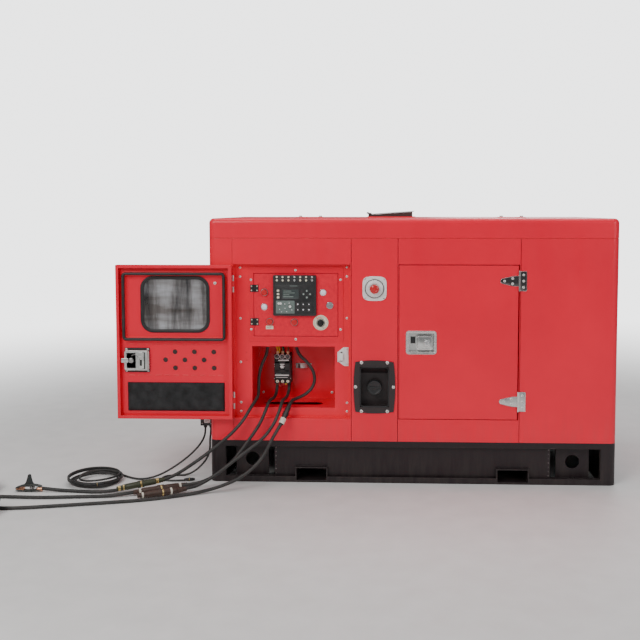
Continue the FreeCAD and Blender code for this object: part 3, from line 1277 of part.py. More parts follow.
save("panel_fittings", *panel_fittings())
for i, name in enumerate(("button_left", "button_lower_left", "button_lower_right")):
    save(name, push_button(i))
save("key_knob", key_knob())
save("panel_lock", panel_lock())
save("control_door", control_door(), *moving_c)
save("window_glass", turned(window_slab(3, 47, F, F + SHEET)))
save("door_seals", turned(window_seal()), turned(door_gasket()))
xa, za = bay(FOAM[0], FOAM[1])
xb, zb = bay(FOAM[2], FOAM[3])
save("door_foam", turned(slab_y(xa, xb, za, zb, 4, F + SHEET, F + SHEET + 12)))
latch, paddle, door_paddle_axis = control_door_latch()
save("door_latch", latch)
save("door_paddle", paddle)
save("service_door", service_door())
save("service_hinges", *moving_s)
dish, paddle, service_paddle_axis = paddle_latch(X3 + SERVICE_LATCH[0], BAY_Z0 + SERVICE_LATCH[1] * KZ)
save("service_latch", dish)
save("service_paddle", paddle)
save("estop_bezel", *estop_bezel())
save("estop_button", estop_button())
save("filler_recess", *filler_recess())
cap, cap_axis = filler_cap()
save("filler_cap", cap)
save("generator", generator())
save("engine", engine())
fan_shape, fan_axis = fan()
save("fan", fan_shape)
save("radiator", radiator())
save("battery", battery())
save("muffler", muffler())
save("exhaust_outlet", exhaust_outlet())
flap, flap_axis = rain_cap()
save("rain_cap", flap)
save("output_socket", output_socket())
save("lead_c", cord("lead_c", ROUTE_C, CABLE_D))
save("lead_d", cord("lead_d", ROUTE_D, CABLE_D))
save("lead_e", cord("lead_e", ROUTE_E, CABLE_D))
save("lead_f", cord("lead_f", ROUTE_F, CABLE_D))
save("lead_a", cord("lead_a", ROUTE_A, LEAD_D))
save("lead_b", cord("lead_b", ROUTE_B, LEAD_D))
save("lead_d_coil", coil(*COIL_D, COIL_R, 2 * CABLE_D + 1, 3 * CABLE_D + 1))
save("lead_f_coil", coil(*COIL_F, COIL_R, 2 * CABLE_D + 1, 3 * CABLE_D + 1))
save("lead_a_coil", coil(*COIL_A, COIL_A_R, 2.4 * LEAD_D, 2.2 * LEAD_D))
save("couplers", *couplers())
save("work_clamp", work_clamp())
save("electrode_holder", electrode_holder())
for name, axis in (("toggle", toggle_axis), ("door paddle", door_paddle_axis), ("service paddle", service_paddle_axis),
                   ("filler cap", cap_axis), ("fan", fan_axis), ("rain flap", flap_axis)):
    print("axis", name, tuple(round(a, 2) for a in axis))
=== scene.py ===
"""Engine driven welder: looks. Metres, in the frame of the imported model."""
import bpy
import bmesh
import math
from mathutils import Vector, Matrix


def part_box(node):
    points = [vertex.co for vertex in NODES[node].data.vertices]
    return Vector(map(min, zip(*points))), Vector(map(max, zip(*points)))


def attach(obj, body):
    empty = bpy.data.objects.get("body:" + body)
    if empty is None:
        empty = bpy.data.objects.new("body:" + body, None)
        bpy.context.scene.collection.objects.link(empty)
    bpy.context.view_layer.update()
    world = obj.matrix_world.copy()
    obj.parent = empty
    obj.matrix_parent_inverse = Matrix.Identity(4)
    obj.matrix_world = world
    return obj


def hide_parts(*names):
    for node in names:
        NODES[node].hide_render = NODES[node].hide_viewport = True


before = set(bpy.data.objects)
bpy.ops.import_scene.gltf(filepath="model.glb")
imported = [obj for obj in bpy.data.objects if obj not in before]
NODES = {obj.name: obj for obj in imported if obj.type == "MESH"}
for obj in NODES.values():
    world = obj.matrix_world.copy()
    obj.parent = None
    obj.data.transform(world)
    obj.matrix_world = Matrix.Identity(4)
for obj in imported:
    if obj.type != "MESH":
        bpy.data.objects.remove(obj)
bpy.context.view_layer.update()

M = {}                   # every finish that several pieces share, by a short name

BASE_LO, BASE_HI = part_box("base_frame")
FRONT = BASE_LO.y
BACKDROP = 3.2           # brightness of the pale backdrop as the camera sees it
PALE = (0.97, 0.975, 0.98)
PANEL_RED = (0.86, 0.0035, 0.032)

# places on the open control door that no CAD node gives by itself, in millimetres
DOOR_HINGE_X = -812.0
DOOR_LOW_Z = 297.0
DOOR_OUTER_Y = -462.0

ROOF_TOP = 1212          # of the sheet, in millimetres, without what stands on it


def box_mm(node):
    """Lowest and highest corner of a CAD node, in millimetres."""
    lo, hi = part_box(node)
    return lo * 1000, hi * 1000


# ---- camera, lights and floor --------------------------------------------------------------------
def camera():
    """Nearly square on to the control side, a little to the right, at eye height above the roof."""
    data = bpy.data.cameras.new("camera")
    cam = bpy.data.objects.new("camera", data)
    bpy.context.scene.collection.objects.link(cam)
    distance = 4.0
    wide = 2.88                     # metres across the frame at that distance
    azimuth = math.radians(2.2)
    pitch = math.radians(4.0)
    cam.location = (-0.10, FRONT - distance, 1.25)
    cam.rotation_euler = (math.pi / 2 - pitch, 0, azimuth)
    data.sensor_width = 36.0
    data.lens = data.sensor_width * distance / wide
    data.shift_x = -0.0565
    data.shift_y = -0.075
    data.dof.use_dof = False
    bpy.context.scene.camera = cam


def area_light(name, place, aim, size, power, colour=(1, 1, 1), size_y=None):
    data = bpy.data.lights.new(name, "AREA")
    data.shape = "RECTANGLE"
    data.size = size
    data.size_y = size_y or size
    data.energy = power
    data.color = colour
    lamp = bpy.data.objects.new(name, data)
    bpy.context.scene.collection.objects.link(lamp)
    lamp.location = place
    lamp.rotation_euler = (Vector(aim) - Vector(place)).to_track_quat("-Z", "Y").to_euler()


def lights():
    """Four soft lamps and a grey world, which the camera itself sees as the pale backdrop."""
    area_light("key", (-2.6, -4.2, 3.6), (-0.2, -0.3, 0.5), 2.6, 140, (1.0, 0.985, 0.96))
    area_light("fill", (3.4, -3.8, 2.2), (0.2, -0.3, 0.5), 2.4, 52, (0.95, 0.975, 1.0))
    area_light("top", (0.0, 0.2, 4.2), (0, 0, 0.8), 4.2, 90, (1, 1, 1), 3.0)
    area_light("back", (1.5, 4.2, 2.8), (0, 0.3, 0.6), 2.6, 60)
    world = bpy.data.worlds.new("studio")
    world.use_nodes = True
    tree = world.node_tree
    sky = tree.nodes["Background"]
    sky.inputs["Color"].default_value = (0.93, 0.94, 0.96, 1)
    sky.inputs["Strength"].default_value = 0.27
    seen = tree.nodes.new("ShaderNodeBackground")
    seen.inputs["Color"].default_value = (*PALE, 1)
    seen.inputs["Strength"].default_value = BACKDROP
    path = tree.nodes.new("ShaderNodeLightPath")
    both = tree.nodes.new("ShaderNodeMixShader")
    tree.links.new(path.outputs["Is Camera Ray"], both.inputs[0])
    tree.links.new(sky.outputs[0], both.inputs[1])
    tree.links.new(seen.outputs[0], both.inputs[2])
    tree.links.new(both.outputs[0], tree.nodes["World Output"].inputs["Surface"])
    bpy.context.scene.world = world


def floor():
    """A pale floor, larger than the camera sees."""
    mesh = bpy.data.meshes.new("floor")
    s = 14.0
    mesh.from_pydata([(-s, -s, 0), (s, -s, 0), (s, s, 0), (-s, s, 0)], [], [(0, 1, 2, 3)])
    obj = bpy.data.objects.new("floor", mesh)
    bpy.context.scene.collection.objects.link(obj)
    mat = plain("floor_pale", (0.78, 0.775, 0.765), 0.62, noise=(0.035, 9.0), bump=(0.15, 60.0))
    # far from the middle the camera sees the floor fade into the backdrop
    net = Net("floor_pale")
    far = net.add("VectorMath")
    far.operation = "LENGTH"
    net.put(net.add("TexCoord").outputs["Object"], far.inputs[0])
    share = net.add("MapRange", From_Min=1.9, From_Max=6.5, Value=far.outputs["Value"])
    share.interpolation_type = "SMOOTHSTEP"
    fade = net.math("MULTIPLY", share.outputs[0], net.add("LightPath").outputs["Is Camera Ray"])
    glow = net.add("Emission", Color=PALE, Strength=BACKDROP)
    blend_in = net.add("MixShader")
    for socket, value in zip(blend_in.inputs, (fade, net.shader.outputs[0], glow.outputs[0])):
        net.put(value, socket)
    net.put(blend_in.outputs[0], net.nodes["Material Output"].inputs["Surface"])
    mesh.materials.append(mat)


# ---- node helpers --------------------------------------------------------------------------------
class Net:
    """A material by name, new or not, and the few nodes that its finish is made of."""
    def __init__(self, name):
        self.mat = bpy.data.materials.get(name) or bpy.data.materials.new(name)
        self.mat.use_nodes = True
        self.nodes, self.links = self.mat.node_tree.nodes, self.mat.node_tree.links
        self.shader = self.nodes["Principled BSDF"]

    def add(self, kind, **inputs):
        """A new node with its inputs given by name; an underscore stands for a space."""
        node = self.nodes.new("ShaderNode" + kind)
        for name, value in inputs.items():
            self.put(value, node.inputs[name.replace("_", " ")])
        return node

    def put(self, value, socket):
        """Link an input to another node's output, or set its own value."""
        if isinstance(value, bpy.types.NodeSocket):
            self.links.new(value, socket)
        else:
            socket.default_value = (*value, 1) if socket.type == "RGBA" and len(value) == 3 else value

    def feed(self, name, value):
        """The same for an input of the surface shader."""
        self.put(value, self.shader.inputs[name])

    def coords(self, scale=(1.0, 1.0, 1.0)):
        return self.add("Mapping", Vector=self.add("TexCoord").outputs["Object"], Scale=scale).outputs["Vector"]

    def place(self, axis):
        return self.add("SeparateXYZ", Vector=self.add("TexCoord").outputs["Object"]).outputs[axis]

    def noise(self, vec, scale, detail=4.0, rough=0.55):
        return self.add("TexNoise", Vector=vec, Scale=scale, Detail=detail, Roughness=rough).outputs["Fac"]

    def ramp(self, fac, stops):
        node = self.add("ValToRGB", Fac=fac)
        elements = node.color_ramp.elements
        while len(elements) < len(stops):
            elements.new(0.5)
        for element, (pos, value) in zip(elements, stops):
            element.position = pos
            element.color = (*value, 1) if isinstance(value, tuple) else (value, value, value, 1)
        return node.outputs["Color"]

    def mix(self, fac, a, b, blend="MIX"):
        node = self.add("Mix")
        node.data_type = "RGBA"
        node.blend_type = blend
        for value, index in ((fac, 0), (a, 6), (b, 7)):
            self.put(value, node.inputs[index])
        return node.outputs[2]

    def math(self, kind, a, b):
        node = self.add("Math")
        node.operation = kind
        for value, socket in zip((a, b), node.inputs):
            self.put(value, socket)
        return node.outputs[0]

    def bump(self, height, strength, distance, normal=None):
        node = self.add("Bump", Strength=strength, Distance=distance, Height=height)
        if normal is not None:
            self.put(normal, node.inputs["Normal"])
        return node.outputs["Normal"]

    def soft_edges(self, radius):
        """Rounded look for sharp sheet edges."""
        bevel = self.add("Bevel", Radius=radius)
        bevel.samples = 6
        return bevel.outputs["Normal"]

    def edge_mask(self, normal):
        """1 on the softened edges and 0 on the flats."""
        dot = self.add("VectorMath")
        dot.operation = "DOT_PRODUCT"
        for value, socket in zip((normal, self.add("NewGeometry").outputs["Normal"]), dot.inputs):
            self.put(value, socket)
        return self.ramp(dot.outputs["Value"], [(0.80, 1.0), (0.985, 0.0)])


def shade(colour, k):
    """The colour, k times as light."""
    return tuple(min(1.0, c * k) for c in colour)


def plain(name, colour, rough, metal=0.0, noise=(0.08, 30.0), bump=(0.1, 400.0), coat=0.0, spec=0.5):
    """A moulded or painted surface: colour a little uneven, gloss a little uneven, fine grain."""
    net = Net(name)
    vec = net.coords()
    low = net.noise(vec, noise[1], 5.0)
    fine = net.noise(vec, bump[1], 3.0)
    tone = net.ramp(low, [(0.3, shade(colour, 1 - noise[0])), (0.7, shade(colour, 1 + noise[0]))])
    net.feed("Base Color", tone)
    gloss = net.ramp(low, [(0.25, max(rough - 0.07, 0.03)), (0.8, min(rough + 0.07, 1.0))])
    net.feed("Roughness", gloss)
    net.feed("Metallic", metal)
    net.feed("Specular IOR Level", spec)
    net.feed("Coat Weight", coat)
    net.feed("Coat Roughness", 0.12)
    net.feed("Normal", net.bump(fine, bump[0], 0.0006))
    return net.mat


# ---- mesh helpers --------------------------------------------------------------------------------
def link(name, mesh, mats):
    obj = bpy.data.objects.new(name, mesh)
    bpy.context.scene.collection.objects.link(obj)
    for mat in mats:
        mesh.materials.append(mat)
    return obj


def nurbs(name, points, diameter, mat):
    """A round cord along a NURBS spline through its control points."""
    curve = bpy.data.curves.new(name, "CURVE")
    curve.dimensions = "3D"
    spline = curve.splines.new("NURBS")
    spline.points.add(len(points) - 1)
    for point, p in zip(spline.points, points):
        point.co = (*p, 1)
    spline.order_u = 3
    spline.use_endpoint_u = True
    spline.resolution_u = 8
    curve.bevel_depth = diameter / 2
    curve.bevel_resolution = 5
    curve.use_fill_caps = True
    curve.materials.append(mat)
    obj = bpy.data.objects.new(name, curve)
    bpy.context.scene.collection.objects.link(obj)
    return obj


def spline_length(obj):
    """Length of the cord's own line."""
    curve = obj.data.copy()
    curve.bevel_depth = 0.0
    bare = bpy.data.objects.new("bare", curve)
    bpy.context.scene.collection.objects.link(bare)
    bpy.context.view_layer.update()
    mesh = bpy.data.meshes.new_from_object(bare)
    pts = [v.co for v in mesh.vertices]
    total = sum((b - a).length for a, b in zip(pts, pts[1:]))
    bpy.data.objects.remove(bare)
    bpy.data.meshes.remove(mesh)
    bpy.data.curves.remove(curve)
    return total


def mm(points):
    """Points told in millimetres, in metres."""
    return [(x / 1000, y / 1000, z / 1000) for x, y, z in points]


# ---- cords: their routes repeat the CAD source's, in millimetres here ----------------------------
ROUTE_C = [(-675, -320, 623), (-675, -320, 596), (-684, -326, 562), (-704, -334, 522), (-714, -341, 474),
           (-715, -349, 428), (-712, -374, 388), (-718, -420, 374), (-736, -464, 348), (-760, -479, 304),
           (-790, -490, 266), (-834, -506, 222), (-915, -528, 158), (-1000, -544, 98), (-1074, -552, 52),
           (-1135, -573, 36), (-1235, -614, 23), (-1310, -640, 12), (-1400, -652, 7.5), (-1500, -640, 7.5),
           (-1580, -634, 10), (-1648, -632, 16)]
ROUTE_D = [(-640, -245, 421), (-641, -247, 396), (-643, -267, 374), (-647, -314, 363), (-652, -370, 369),
           (-656, -422, 371), (-664, -466, 344), (-686, -490, 286), (-726, -510, 226), (-796, -540, 130),
           (-870, -553, 66), (-938, -556, 29), (-1010, -562, 17), (-1115, -615, 16), (-1222, -676, 16),
           (-1320, -706, 8), (-1450, -716, 7.5), (-1600, -734, 7.5), (-1734, -730, 7.5), (-1850, -724, 7.5),
           (-1935, -726, 7.5)]
ROUTE_E = [(-583, -245, 421), (-583, -247, 396), (-585, -268, 374), (-590, -316, 363), (-594, -372, 369),
           (-596, -424, 371), (-601, -470, 342), (-622, -498, 286), (-668, -528, 222), (-765, -560, 154),
           (-872, -584, 72), (-945, -598, 28), (-1000, -618, 17), (-1060, -649, 16)]
ROUTE_F = [(-540, -320, 623), (-540, -320, 598), (-522, -326, 566), (-488, -331, 538), (-460, -335, 500),
           (-450, -339, 456), (-464, -344, 416), (-498, -356, 386), (-536, -388, 376), (-553, -432, 374),
           (-566, -476, 344), (-590, -506, 286), (-630, -526, 222), (-668, -542, 140), (-736, -574, 74),
           (-820, -602, 34), (-920, -634, 10), (-1030, -696, 7.5), (-1170, -756, 7.5), (-1330, -796, 7.5),
           (-1500, -838, 7.5), (-1650, -872, 7.5), (-1735, -876, 7.5), (-1800, -869.5, 7.5)]
GLAND_A = -969.0
GLAND_B = -943.0
ROUTE_A = [(GLAND_A, -347, 238), (GLAND_A, -347, 208), (-976, -350, 176), (-1000, -357, 138), (-1042, -370, 96),
           (-1096, -388, 56), (-1150, -412, 26), (-1204, -440, 9), (-1258, -450, 5), (-1306, -427, 5),
           (-1362, -380, 5)]
ROUTE_B = [(GLAND_B, -347, 238), (GLAND_B, -347, 208), (-948, -349, 172), (-947, -352, 136), (-952, -356, 102),
           (-968, -360, 70), (-994, -366, 42), (-1024, -372, 18), (-1060, -377, 5), (-1098, -378, 4.5),
           (-1130, -383, 4.5), (-1153, -402, 4.5), (-1159, -430, 4.5), (-1143, -454, 4.5), (-1114, -464, 4.5),
           (-1078, -462, 4.5), (-1042, -455, 4.5)]
COIL_D = (-1935.0, -643.5)
COIL_F = (-1800.0, -952.0)
COIL_A = (-1446.0, -480.0)
COIL_R = 82.5
COIL_A_R = 131.0
CABLE_D = 15.0
LEAD_D = 9.0


def wound(centre, start, turn_sign, stages, per_turn=16):
    """Turns of a coil. stages lists (turns, radius, height), and the cord eases from one to the next."""
    out = []
    angle = start
    for i, (turns, radius, height) in enumerate(stages):
        after = stages[i + 1] if i + 1 < len(stages) else None
        steps = max(2, round(turns * per_turn))
        for k in range(steps):
            part = k / steps
            left = (1 - part) * turns
            ease = max(0.0, 1 - left / 0.30) if after else 0.0
            ease = ease * ease * (3 - 2 * ease)
            r = radius + (after[1] - radius) * ease if after else radius
            h = height + (after[2] - height) * ease if after else height
            a = angle + turn_sign * 2 * math.pi * turns * part
            out.append((centre[0] + r * math.cos(a), centre[1] + r * math.sin(a), h))
        angle += turn_sign * 2 * math.pi * turns
    return out


def lead(name, route, diameter, mat, nodes, coil_part=(), tail=(), **facts):
    """One free lead: its route, then the turns of its coil, then the run to what is on its end."""
    points = mm(list(route) + list(coil_part) + list(tail))
    obj = nurbs(name, points, diameter / 1000, mat)
    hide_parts(*nodes)
    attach(obj, "welder")
    spline_length(obj)
    return obj


def sharp_edges(obj, angle):
    """Smooth shading that keeps edges sharper than the angle."""
    mesh = obj.data
    bm = bmesh.new()
    bm.from_mesh(mesh)
    limit = math.radians(angle)
    for edge in bm.edges:
        edge.smooth = len(edge.link_faces) == 2 and edge.calc_face_angle(0) < limit
    for face in bm.faces:
        face.smooth = True
    bm.to_mesh(mesh)
    bm.free()


def sleeve_profile(size, r, ribs):
    """A cable connector: ribbed boots, a body, a grooved collar in the middle, all slightly rounded."""
    out = [(0.6, r * 0.57), (0, r * 0.62)]
    boot = size * 0.2
    for i in range(ribs):
        t0 = boot * (i + 0.2) / ribs
        t1 = boot * (i + 0.75) / ribs
        ra = r * (0.62 + 0.3 * t0 / boot)
        out += [(t0, ra), (t0 + 0.5, ra + 1.0), (t1 - 0.5, ra + 1.0), (t1, ra)]
    out += [(boot, r * 0.94), (boot + 1.5, r), (size * 0.43, r), (size * 0.44, r + 1.8), (size * 0.45, r + 2)]
    out += [(size * 0.48, r + 2), (size * 0.485, r + 0.8), (size * 0.505, r + 0.8), (size * 0.51, r + 2)]
    out += [(size * 0.55, r + 2), (size * 0.56, r + 1.8), (size * 0.57, r)]
    mirror = [(size - t, q) for t, q in reversed(out) if t < size * 0.43]
    return out + mirror


def sleeve(name, a, b, r, body, metal=None, ribs=5, tape=None, tapes=()):
    """Connector between two points, in millimetres; tapes are (from, to) shares of its length."""
    size = (Vector(b) - Vector(a)).length
    profile = sleeve_profile(size, r, ribs)
    mats = [body, metal or body, tape or body]
    for lo, hi in tapes:
        near = [q for t, q in profile if t <= lo * size][-1] + 1.0
        inside = [(lo * size, near - 1.2), (lo * size + 0.4, near), (hi * size - 0.4, near),
                  (hi * size, near - 1.2)]
        profile = [e for e in profile if e[0] < lo * size] + inside + [e for e in profile if e[0] > hi * size]
    slots = []
    for t, _ in profile[:-1]:
        taped = any(lo * size - 0.1 <= t < hi * size - 0.1 for lo, hi in tapes)
        slots.append(2 if taped else 1 if metal and size * 0.475 < t < size * 0.51 else 0)
    g = Group(name)
    g.mats = mats
    g.bm = spun(a, b, profile, 40, slots)
    return g.done("welder", "couplers", 35)


def coil_stages(last):
    """Two wide and three high; the last turn is the inner one on top."""
    a, b = COIL_R + 7.8, COIL_R - 7.8
    z = [7.6, 22.9, 38.2]           # middles of the three layers
    return [(1.0, a, z[0]), (1.05, b, z[0]), (1.0, b, z[1]), (1.05, a, z[1]), (1.0, a, z[2]), (last, b, z[2])]


def from_centre(centre, run):
    """Points told from a coil's centre."""
    return [(centre[0] + x, centre[1] + y, z) for x, y, z in run]


def pile(centre, start, turns, radius, per_turn=15):
    """A loose heap of loops: each one wanders in size and place and lies on those before it."""
    out = []
    count = round(turns * per_turn)
    for k in range(count + 1):
        t = k / count
        a = start + 2 * math.pi * turns * t
        ease = min(1.0, t / 0.14, (1 - t) / 0.12)
        ease = ease * ease * (3 - 2 * ease)
        r = radius - ease * (24 + 19 * math.sin(0.47 * a + 0.5) + 6 * math.sin(1.13 * a))
        x = centre[0] + ease * 8 * math.sin(0.71 * a + 1.0) + r * math.cos(a)
        y = centre[1] + ease * 7 * math.cos(0.59 * a) + r * math.sin(a)
        out.append((x, y, 4.8 + 29.0 * t + ease * 2.5 * math.sin(1.9 * a)))
    return out


def cords():
    rubber = cable_rubber("lead_rubber")
    thin = cable_rubber("thin_lead_rubber")
    tape = plain("pale_tape", (0.72, 0.68, 0.58), 0.5, noise=(0.15, 90.0), bump=(0.3, 500.0))
    olive = plain("sleeve_olive", (0.048, 0.052, 0.026), 0.5, noise=(0.25, 40.0), bump=(0.3, 500.0))
    brown = plain("sleeve_brown", (0.065, 0.036, 0.026), 0.5, noise=(0.25, 40.0), bump=(0.3, 500.0))
    black = plain("plug_black", (0.02, 0.02, 0.021), 0.45, noise=(0.2, 40.0), bump=(0.25, 600.0))
    brass = plain("brass", (0.75, 0.56, 0.24), 0.3, 1.0, noise=(0.15, 60.0), bump=(0.15, 500.0))
    sleeve_c = sleeve("work_coupler", (-1110, -563, 41), (-1306, -641, 20), 14, olive, brass, 5, brass,
                      ((0.13, 0.19), (0.84, 0.87), (0.92, 0.97)))
    sleeve_d = sleeve("holder_coupler", (-1010, -558, 17), (-1222, -676, 16), 14, brown, brass, 5, tape,
                      ((0.12, 0.16), (0.86, 0.9)))
    sleeve_e = sleeve("return_coupler", (-1000, -618, 17), (-1190, -722, 16), 14, brown, brass, 5, tape,
                      ((0.3, 0.34), (0.88, 0.92)))
    sleeve_f = sleeve("spare_sleeve", (-556, -446, 366), (-592, -508, 282), 12, black, None, 3, tape,
                      ((0.7, 0.96),))
    plug_a = sleeve("remote_plug", (-1430, -617, 28.6), (-1376, -600, 28.6), 7, black, brass, 3)
    plug_b = sleeve("sense_plug", (-1048, -456.5, 8.5), (-1000, -448, 8.5), 7, black, brass, 3)
    plug_f = sleeve("spare_plug", (-1860, -869.5, 58.7), (-1740, -892, 58.7), 12, black, brass, 4)
    lead("work_lead", ROUTE_C, CABLE_D, rubber, ["lead_c"], far_end="tool", stiffness="limp", lay="loose",
         with_pieces=[CLAMP, sleeve_c])
    turns = wound(COIL_D, math.radians(270), -1, coil_stages(0.594))
    lead("holder_lead", ROUTE_D[:-1], CABLE_D, rubber, ["lead_d", "lead_d_coil"], turns,
         from_centre(COIL_D, [(70.2, 25.5, 38.4), (81, -5, 46), (88, -35, 53), (89, -68, 52.5), (87, -98, 51),
                              (77, -122, 51), (54, -132.5, 53), (30.5, -122, 57), (20, -101, 60.6),
                              (20, -86, 61.2)]),
         far_end="tool", stiffness="limp", lay="coiled", with_pieces=[HOLDER, sleeve_d])
    lead("return_lead", ROUTE_E, CABLE_D, rubber, ["lead_e"], far_end="connector", stiffness="limp", lay="loose",
         with_pieces=[sleeve_e])
    turns = wound(COIL_F, math.radians(90), 1, coil_stages(0.483))
    lead("spare_lead", ROUTE_F[:-1], CABLE_D, rubber, ["lead_f", "lead_f_coil"], turns,
         from_centre(COIL_F, [(37.4, -64.7, 38.4), (57, -52, 44), (76, -30, 52), (87, -6, 54.5), (91.5, 18, 56),
                              (88, 38, 57.5), (77, 52.5, 58.5), (60, 60, 58.7), (48, 62.3, 58.7)]),
         far_end="connector", stiffness="limp", lay="coiled", with_pieces=[sleeve_f, plug_f])
    loops = pile(COIL_A, math.radians(50), 5.5, COIL_A_R)
    lead("remote_lead", ROUTE_A[:-1], LEAD_D, thin, ["lead_a", "lead_a_coil"], loops,
         [(-1470, -617, 32.5), (-1446, -620, 30.5), (-1424, -615, 28.6)], far_end="plug", stiffness="limp",
         lay="coiled", with_pieces=[plug_a])
    lead("sense_lead", ROUTE_B, LEAD_D, thin, ["lead_b"], far_end="plug", stiffness="limp", lay="loose",
         with_pieces=[plug_b])


def cable_rubber(name):
    """Black rubber sheath: dusty, with pale scuffs where it has lain on the ground."""
    net = Net(name)
    vec = net.coords()
    dust = net.noise(vec, 14.0, 6.0, 0.6)
    scuff = net.noise(vec, 160.0, 4.0, 0.7)
    base = net.ramp(dust, [(0.35, (0.018, 0.017, 0.017)), (0.75, (0.06, 0.056, 0.052))])
    marks = net.ramp(scuff, [(0.62, 0.0), (0.76, 0.5)])
    net.feed("Base Color", net.mix(marks, base, (0.13, 0.12, 0.11)))
    net.feed("Roughness", net.ramp(dust, [(0.2, 0.42), (0.8, 0.68)]))
    net.feed("Normal", net.bump(scuff, 0.35, 0.0008))
    return net.mat


# ---- the rest of the finishes -------------------------------------------------------------------------------
def paint(name, colour, rough, edge, dust, dust_top, peel=0.12, radius=0.003, coat=0.2):
    """Powder-coated sheet: orange peel, faint waves, dust low down and pale rubbed edges."""
    net = Net(name)
    vec = net.coords()
    broad = net.noise(vec, 2.4, 4.0)
    body = net.ramp(broad, [(0.3, shade(colour, 0.93)), (0.7, shade(colour, 1.05))])
    normal = net.soft_edges(radius)
    chips = net.noise(vec, 45.0, 6.0, 0.7)
    rubbed = net.math("MULTIPLY", net.edge_mask(normal), net.ramp(chips, [(0.35, 0.15), (0.65, 0.75)]))
    body = net.mix(rubbed, body, edge)
    height = net.place(2)
    streak_vec = net.coords((9.0, 9.0, 1.3))
    streaks = net.noise(streak_vec, 4.0, 8.0, 0.7)
    low = net.ramp(net.math("DIVIDE", height, dust_top), [(0.0, 1.0), (1.0, 0.0)])
    film = net.math("MULTIPLY", low, net.ramp(streaks, [(0.4, 0.0), (0.75, 0.42)]))
    body = net.mix(film, body, dust)
    specks = net.noise(vec, 900.0, 2.0, 0.5)
    body = net.mix(net.ramp(specks, [(0.70, 0.0), (0.74, 0.35)]), body, dust)
    net.feed("Base Color", body)
    smear = net.noise(streak_vec, 2.0, 5.0)
    gloss = net.ramp(smear, [(0.3, max(0.05, rough - 0.06)), (0.75, rough + 0.09)])
    net.feed("Roughness", net.mix(film, gloss, (0.8, 0.8, 0.8)))
    net.feed("Specular IOR Level", 0.38)
    net.feed("Coat Weight", coat)
    net.feed("Coat Roughness", 0.16)
    orange = net.noise(vec, 330.0, 2.0)
    wave = net.noise(vec, 5.0, 2.0)
    first = net.bump(wave, 0.25, 0.006, normal)
    net.feed("Normal", net.bump(orange, peel, 0.0008, first))
    return net.mat


def steel(name, colour, rough, stretch, scratch=0.35, radius=0.0008, stain=0.12):
    """Sheet metal drawn or brushed along one axis, with finger marks."""
    net = Net(name)
    grain = net.noise(net.coords(stretch), 60.0, 6.0, 0.65)
    marks = net.noise(net.coords(), 38.0, 5.0, 0.6)
    tone = net.ramp(grain, [(0.25, shade(colour, 0.86)), (0.75, shade(colour, 1.08))])
    tone = net.mix(net.ramp(marks, [(0.5, 0.0), (0.8, stain)]), tone, shade(colour, 0.35))
    net.feed("Base Color", tone)
    net.feed("Metallic", 1.0)
    gloss = net.ramp(marks, [(0.3, max(0.04, rough - 0.08)), (0.7, rough + 0.1)])
    net.feed("Roughness", gloss)
    normal = net.soft_edges(radius)
    net.feed("Normal", net.bump(grain, scratch, 0.0004, normal))
    return net.mat


def two_tone(name, axis, limit, low, high):
    """One finish below a place on an axis and another above it."""
    net = Net(name)
    vec = net.coords()
    grain = net.noise(vec, 60.0, 5.0)
    side = net.math("GREATER_THAN", net.place(axis), limit)
    tones = [net.ramp(grain, [(0.3, shade(colour, 0.9)), (0.7, shade(colour, 1.08))])
             for colour, _, _ in (low, high)]
    net.feed("Base Color", net.mix(side, tones[0], tones[1]))
    rough = net.mix(side, (low[1],) * 3, (high[1],) * 3)
    net.feed("Roughness", net.mix(net.ramp(grain, [(0.4, 0.0), (0.7, 0.3)]), rough, (0.6, 0.6, 0.6)))
    net.feed("Metallic", net.mix(side, (low[2],) * 3, (high[2],) * 3))
    normal = net.soft_edges(0.0008)
    net.feed("Normal", net.bump(net.noise(vec, 400.0, 3.0), 0.12, 0.0005, normal))
    return net.mat


def glass(name, tint, rough=0.03, film=0.92):
    """Clear sheet with faint smears; the room it mirrors is painted into its colour as soft grey upright streaks, a
    painted reflection.
    """
    net = Net(name)
    smear = net.noise(net.coords((5.0, 5.0, 14.0)), 3.0, 5.0)
    net.feed("Base Color", net.ramp(smear, [(0.3, tint), (0.75, shade(tint, 0.88))]))
    net.feed("Roughness", net.ramp(smear, [(0.4, rough), (0.8, rough + 0.12)]))
    net.feed("Transmission Weight", film)
    net.feed("IOR", 1.45)
    if film < 0.9:
        # painted reflection: grey upright streaks and a pale band, multiplied into the colour, stand for the
        # mirrored room
        tall = net.noise(net.coords((11.0, 1.0, 1.6)), 1.5, 6.0, 0.62)
        wide = net.noise(net.coords((1.5, 1.0, 7.0)), 1.7, 4.0)
        painted_reflection_streaks = net.ramp(tall, [(0.36, (0.10, 0.10, 0.105)), (0.48, (0.34, 0.33, 0.33)),
                                 (0.6, (0.75, 0.76, 0.78))])
        band = net.ramp(wide, [(0.4, (0.42, 0.38, 0.36)), (0.62, (0.95, 0.96, 0.98))])
        net.feed("Base Color", net.mix(1.0, painted_reflection_streaks, band, "MULTIPLY"))
        net.feed("Transmission Weight", net.ramp(tall, [(0.3, film - 0.25), (0.7, film + 0.15)]))
    return net.mat


def lit(name, colour, strength, base, rough=0.25):
    """A display or lamp lens: deep colour with a little glow, uneven."""
    net = Net(name)
    cells = net.noise(net.coords(), 120.0, 3.0)
    net.feed("Base Color", net.ramp(cells, [(0.3, shade(base, 0.85)), (0.7, shade(base, 1.1))]))
    net.feed("Emission Color", net.ramp(cells, [(0.3, shade(colour, 0.8)), (0.7, colour)]))
    net.feed("Emission Strength", strength)
    net.feed("Roughness", rough)
    net.feed("Coat Weight", 0.6)
    return net.mat


def finish(pairs):
    """Finishes for CAD nodes shown as they are: pairs of a finish, or its name in M, and the nodes' names."""
    for mat, names in pairs:
        for name in names.split():
            for place in NODES[name].material_slots:
                place.link = "OBJECT"
                place.material = M.get(mat, mat)


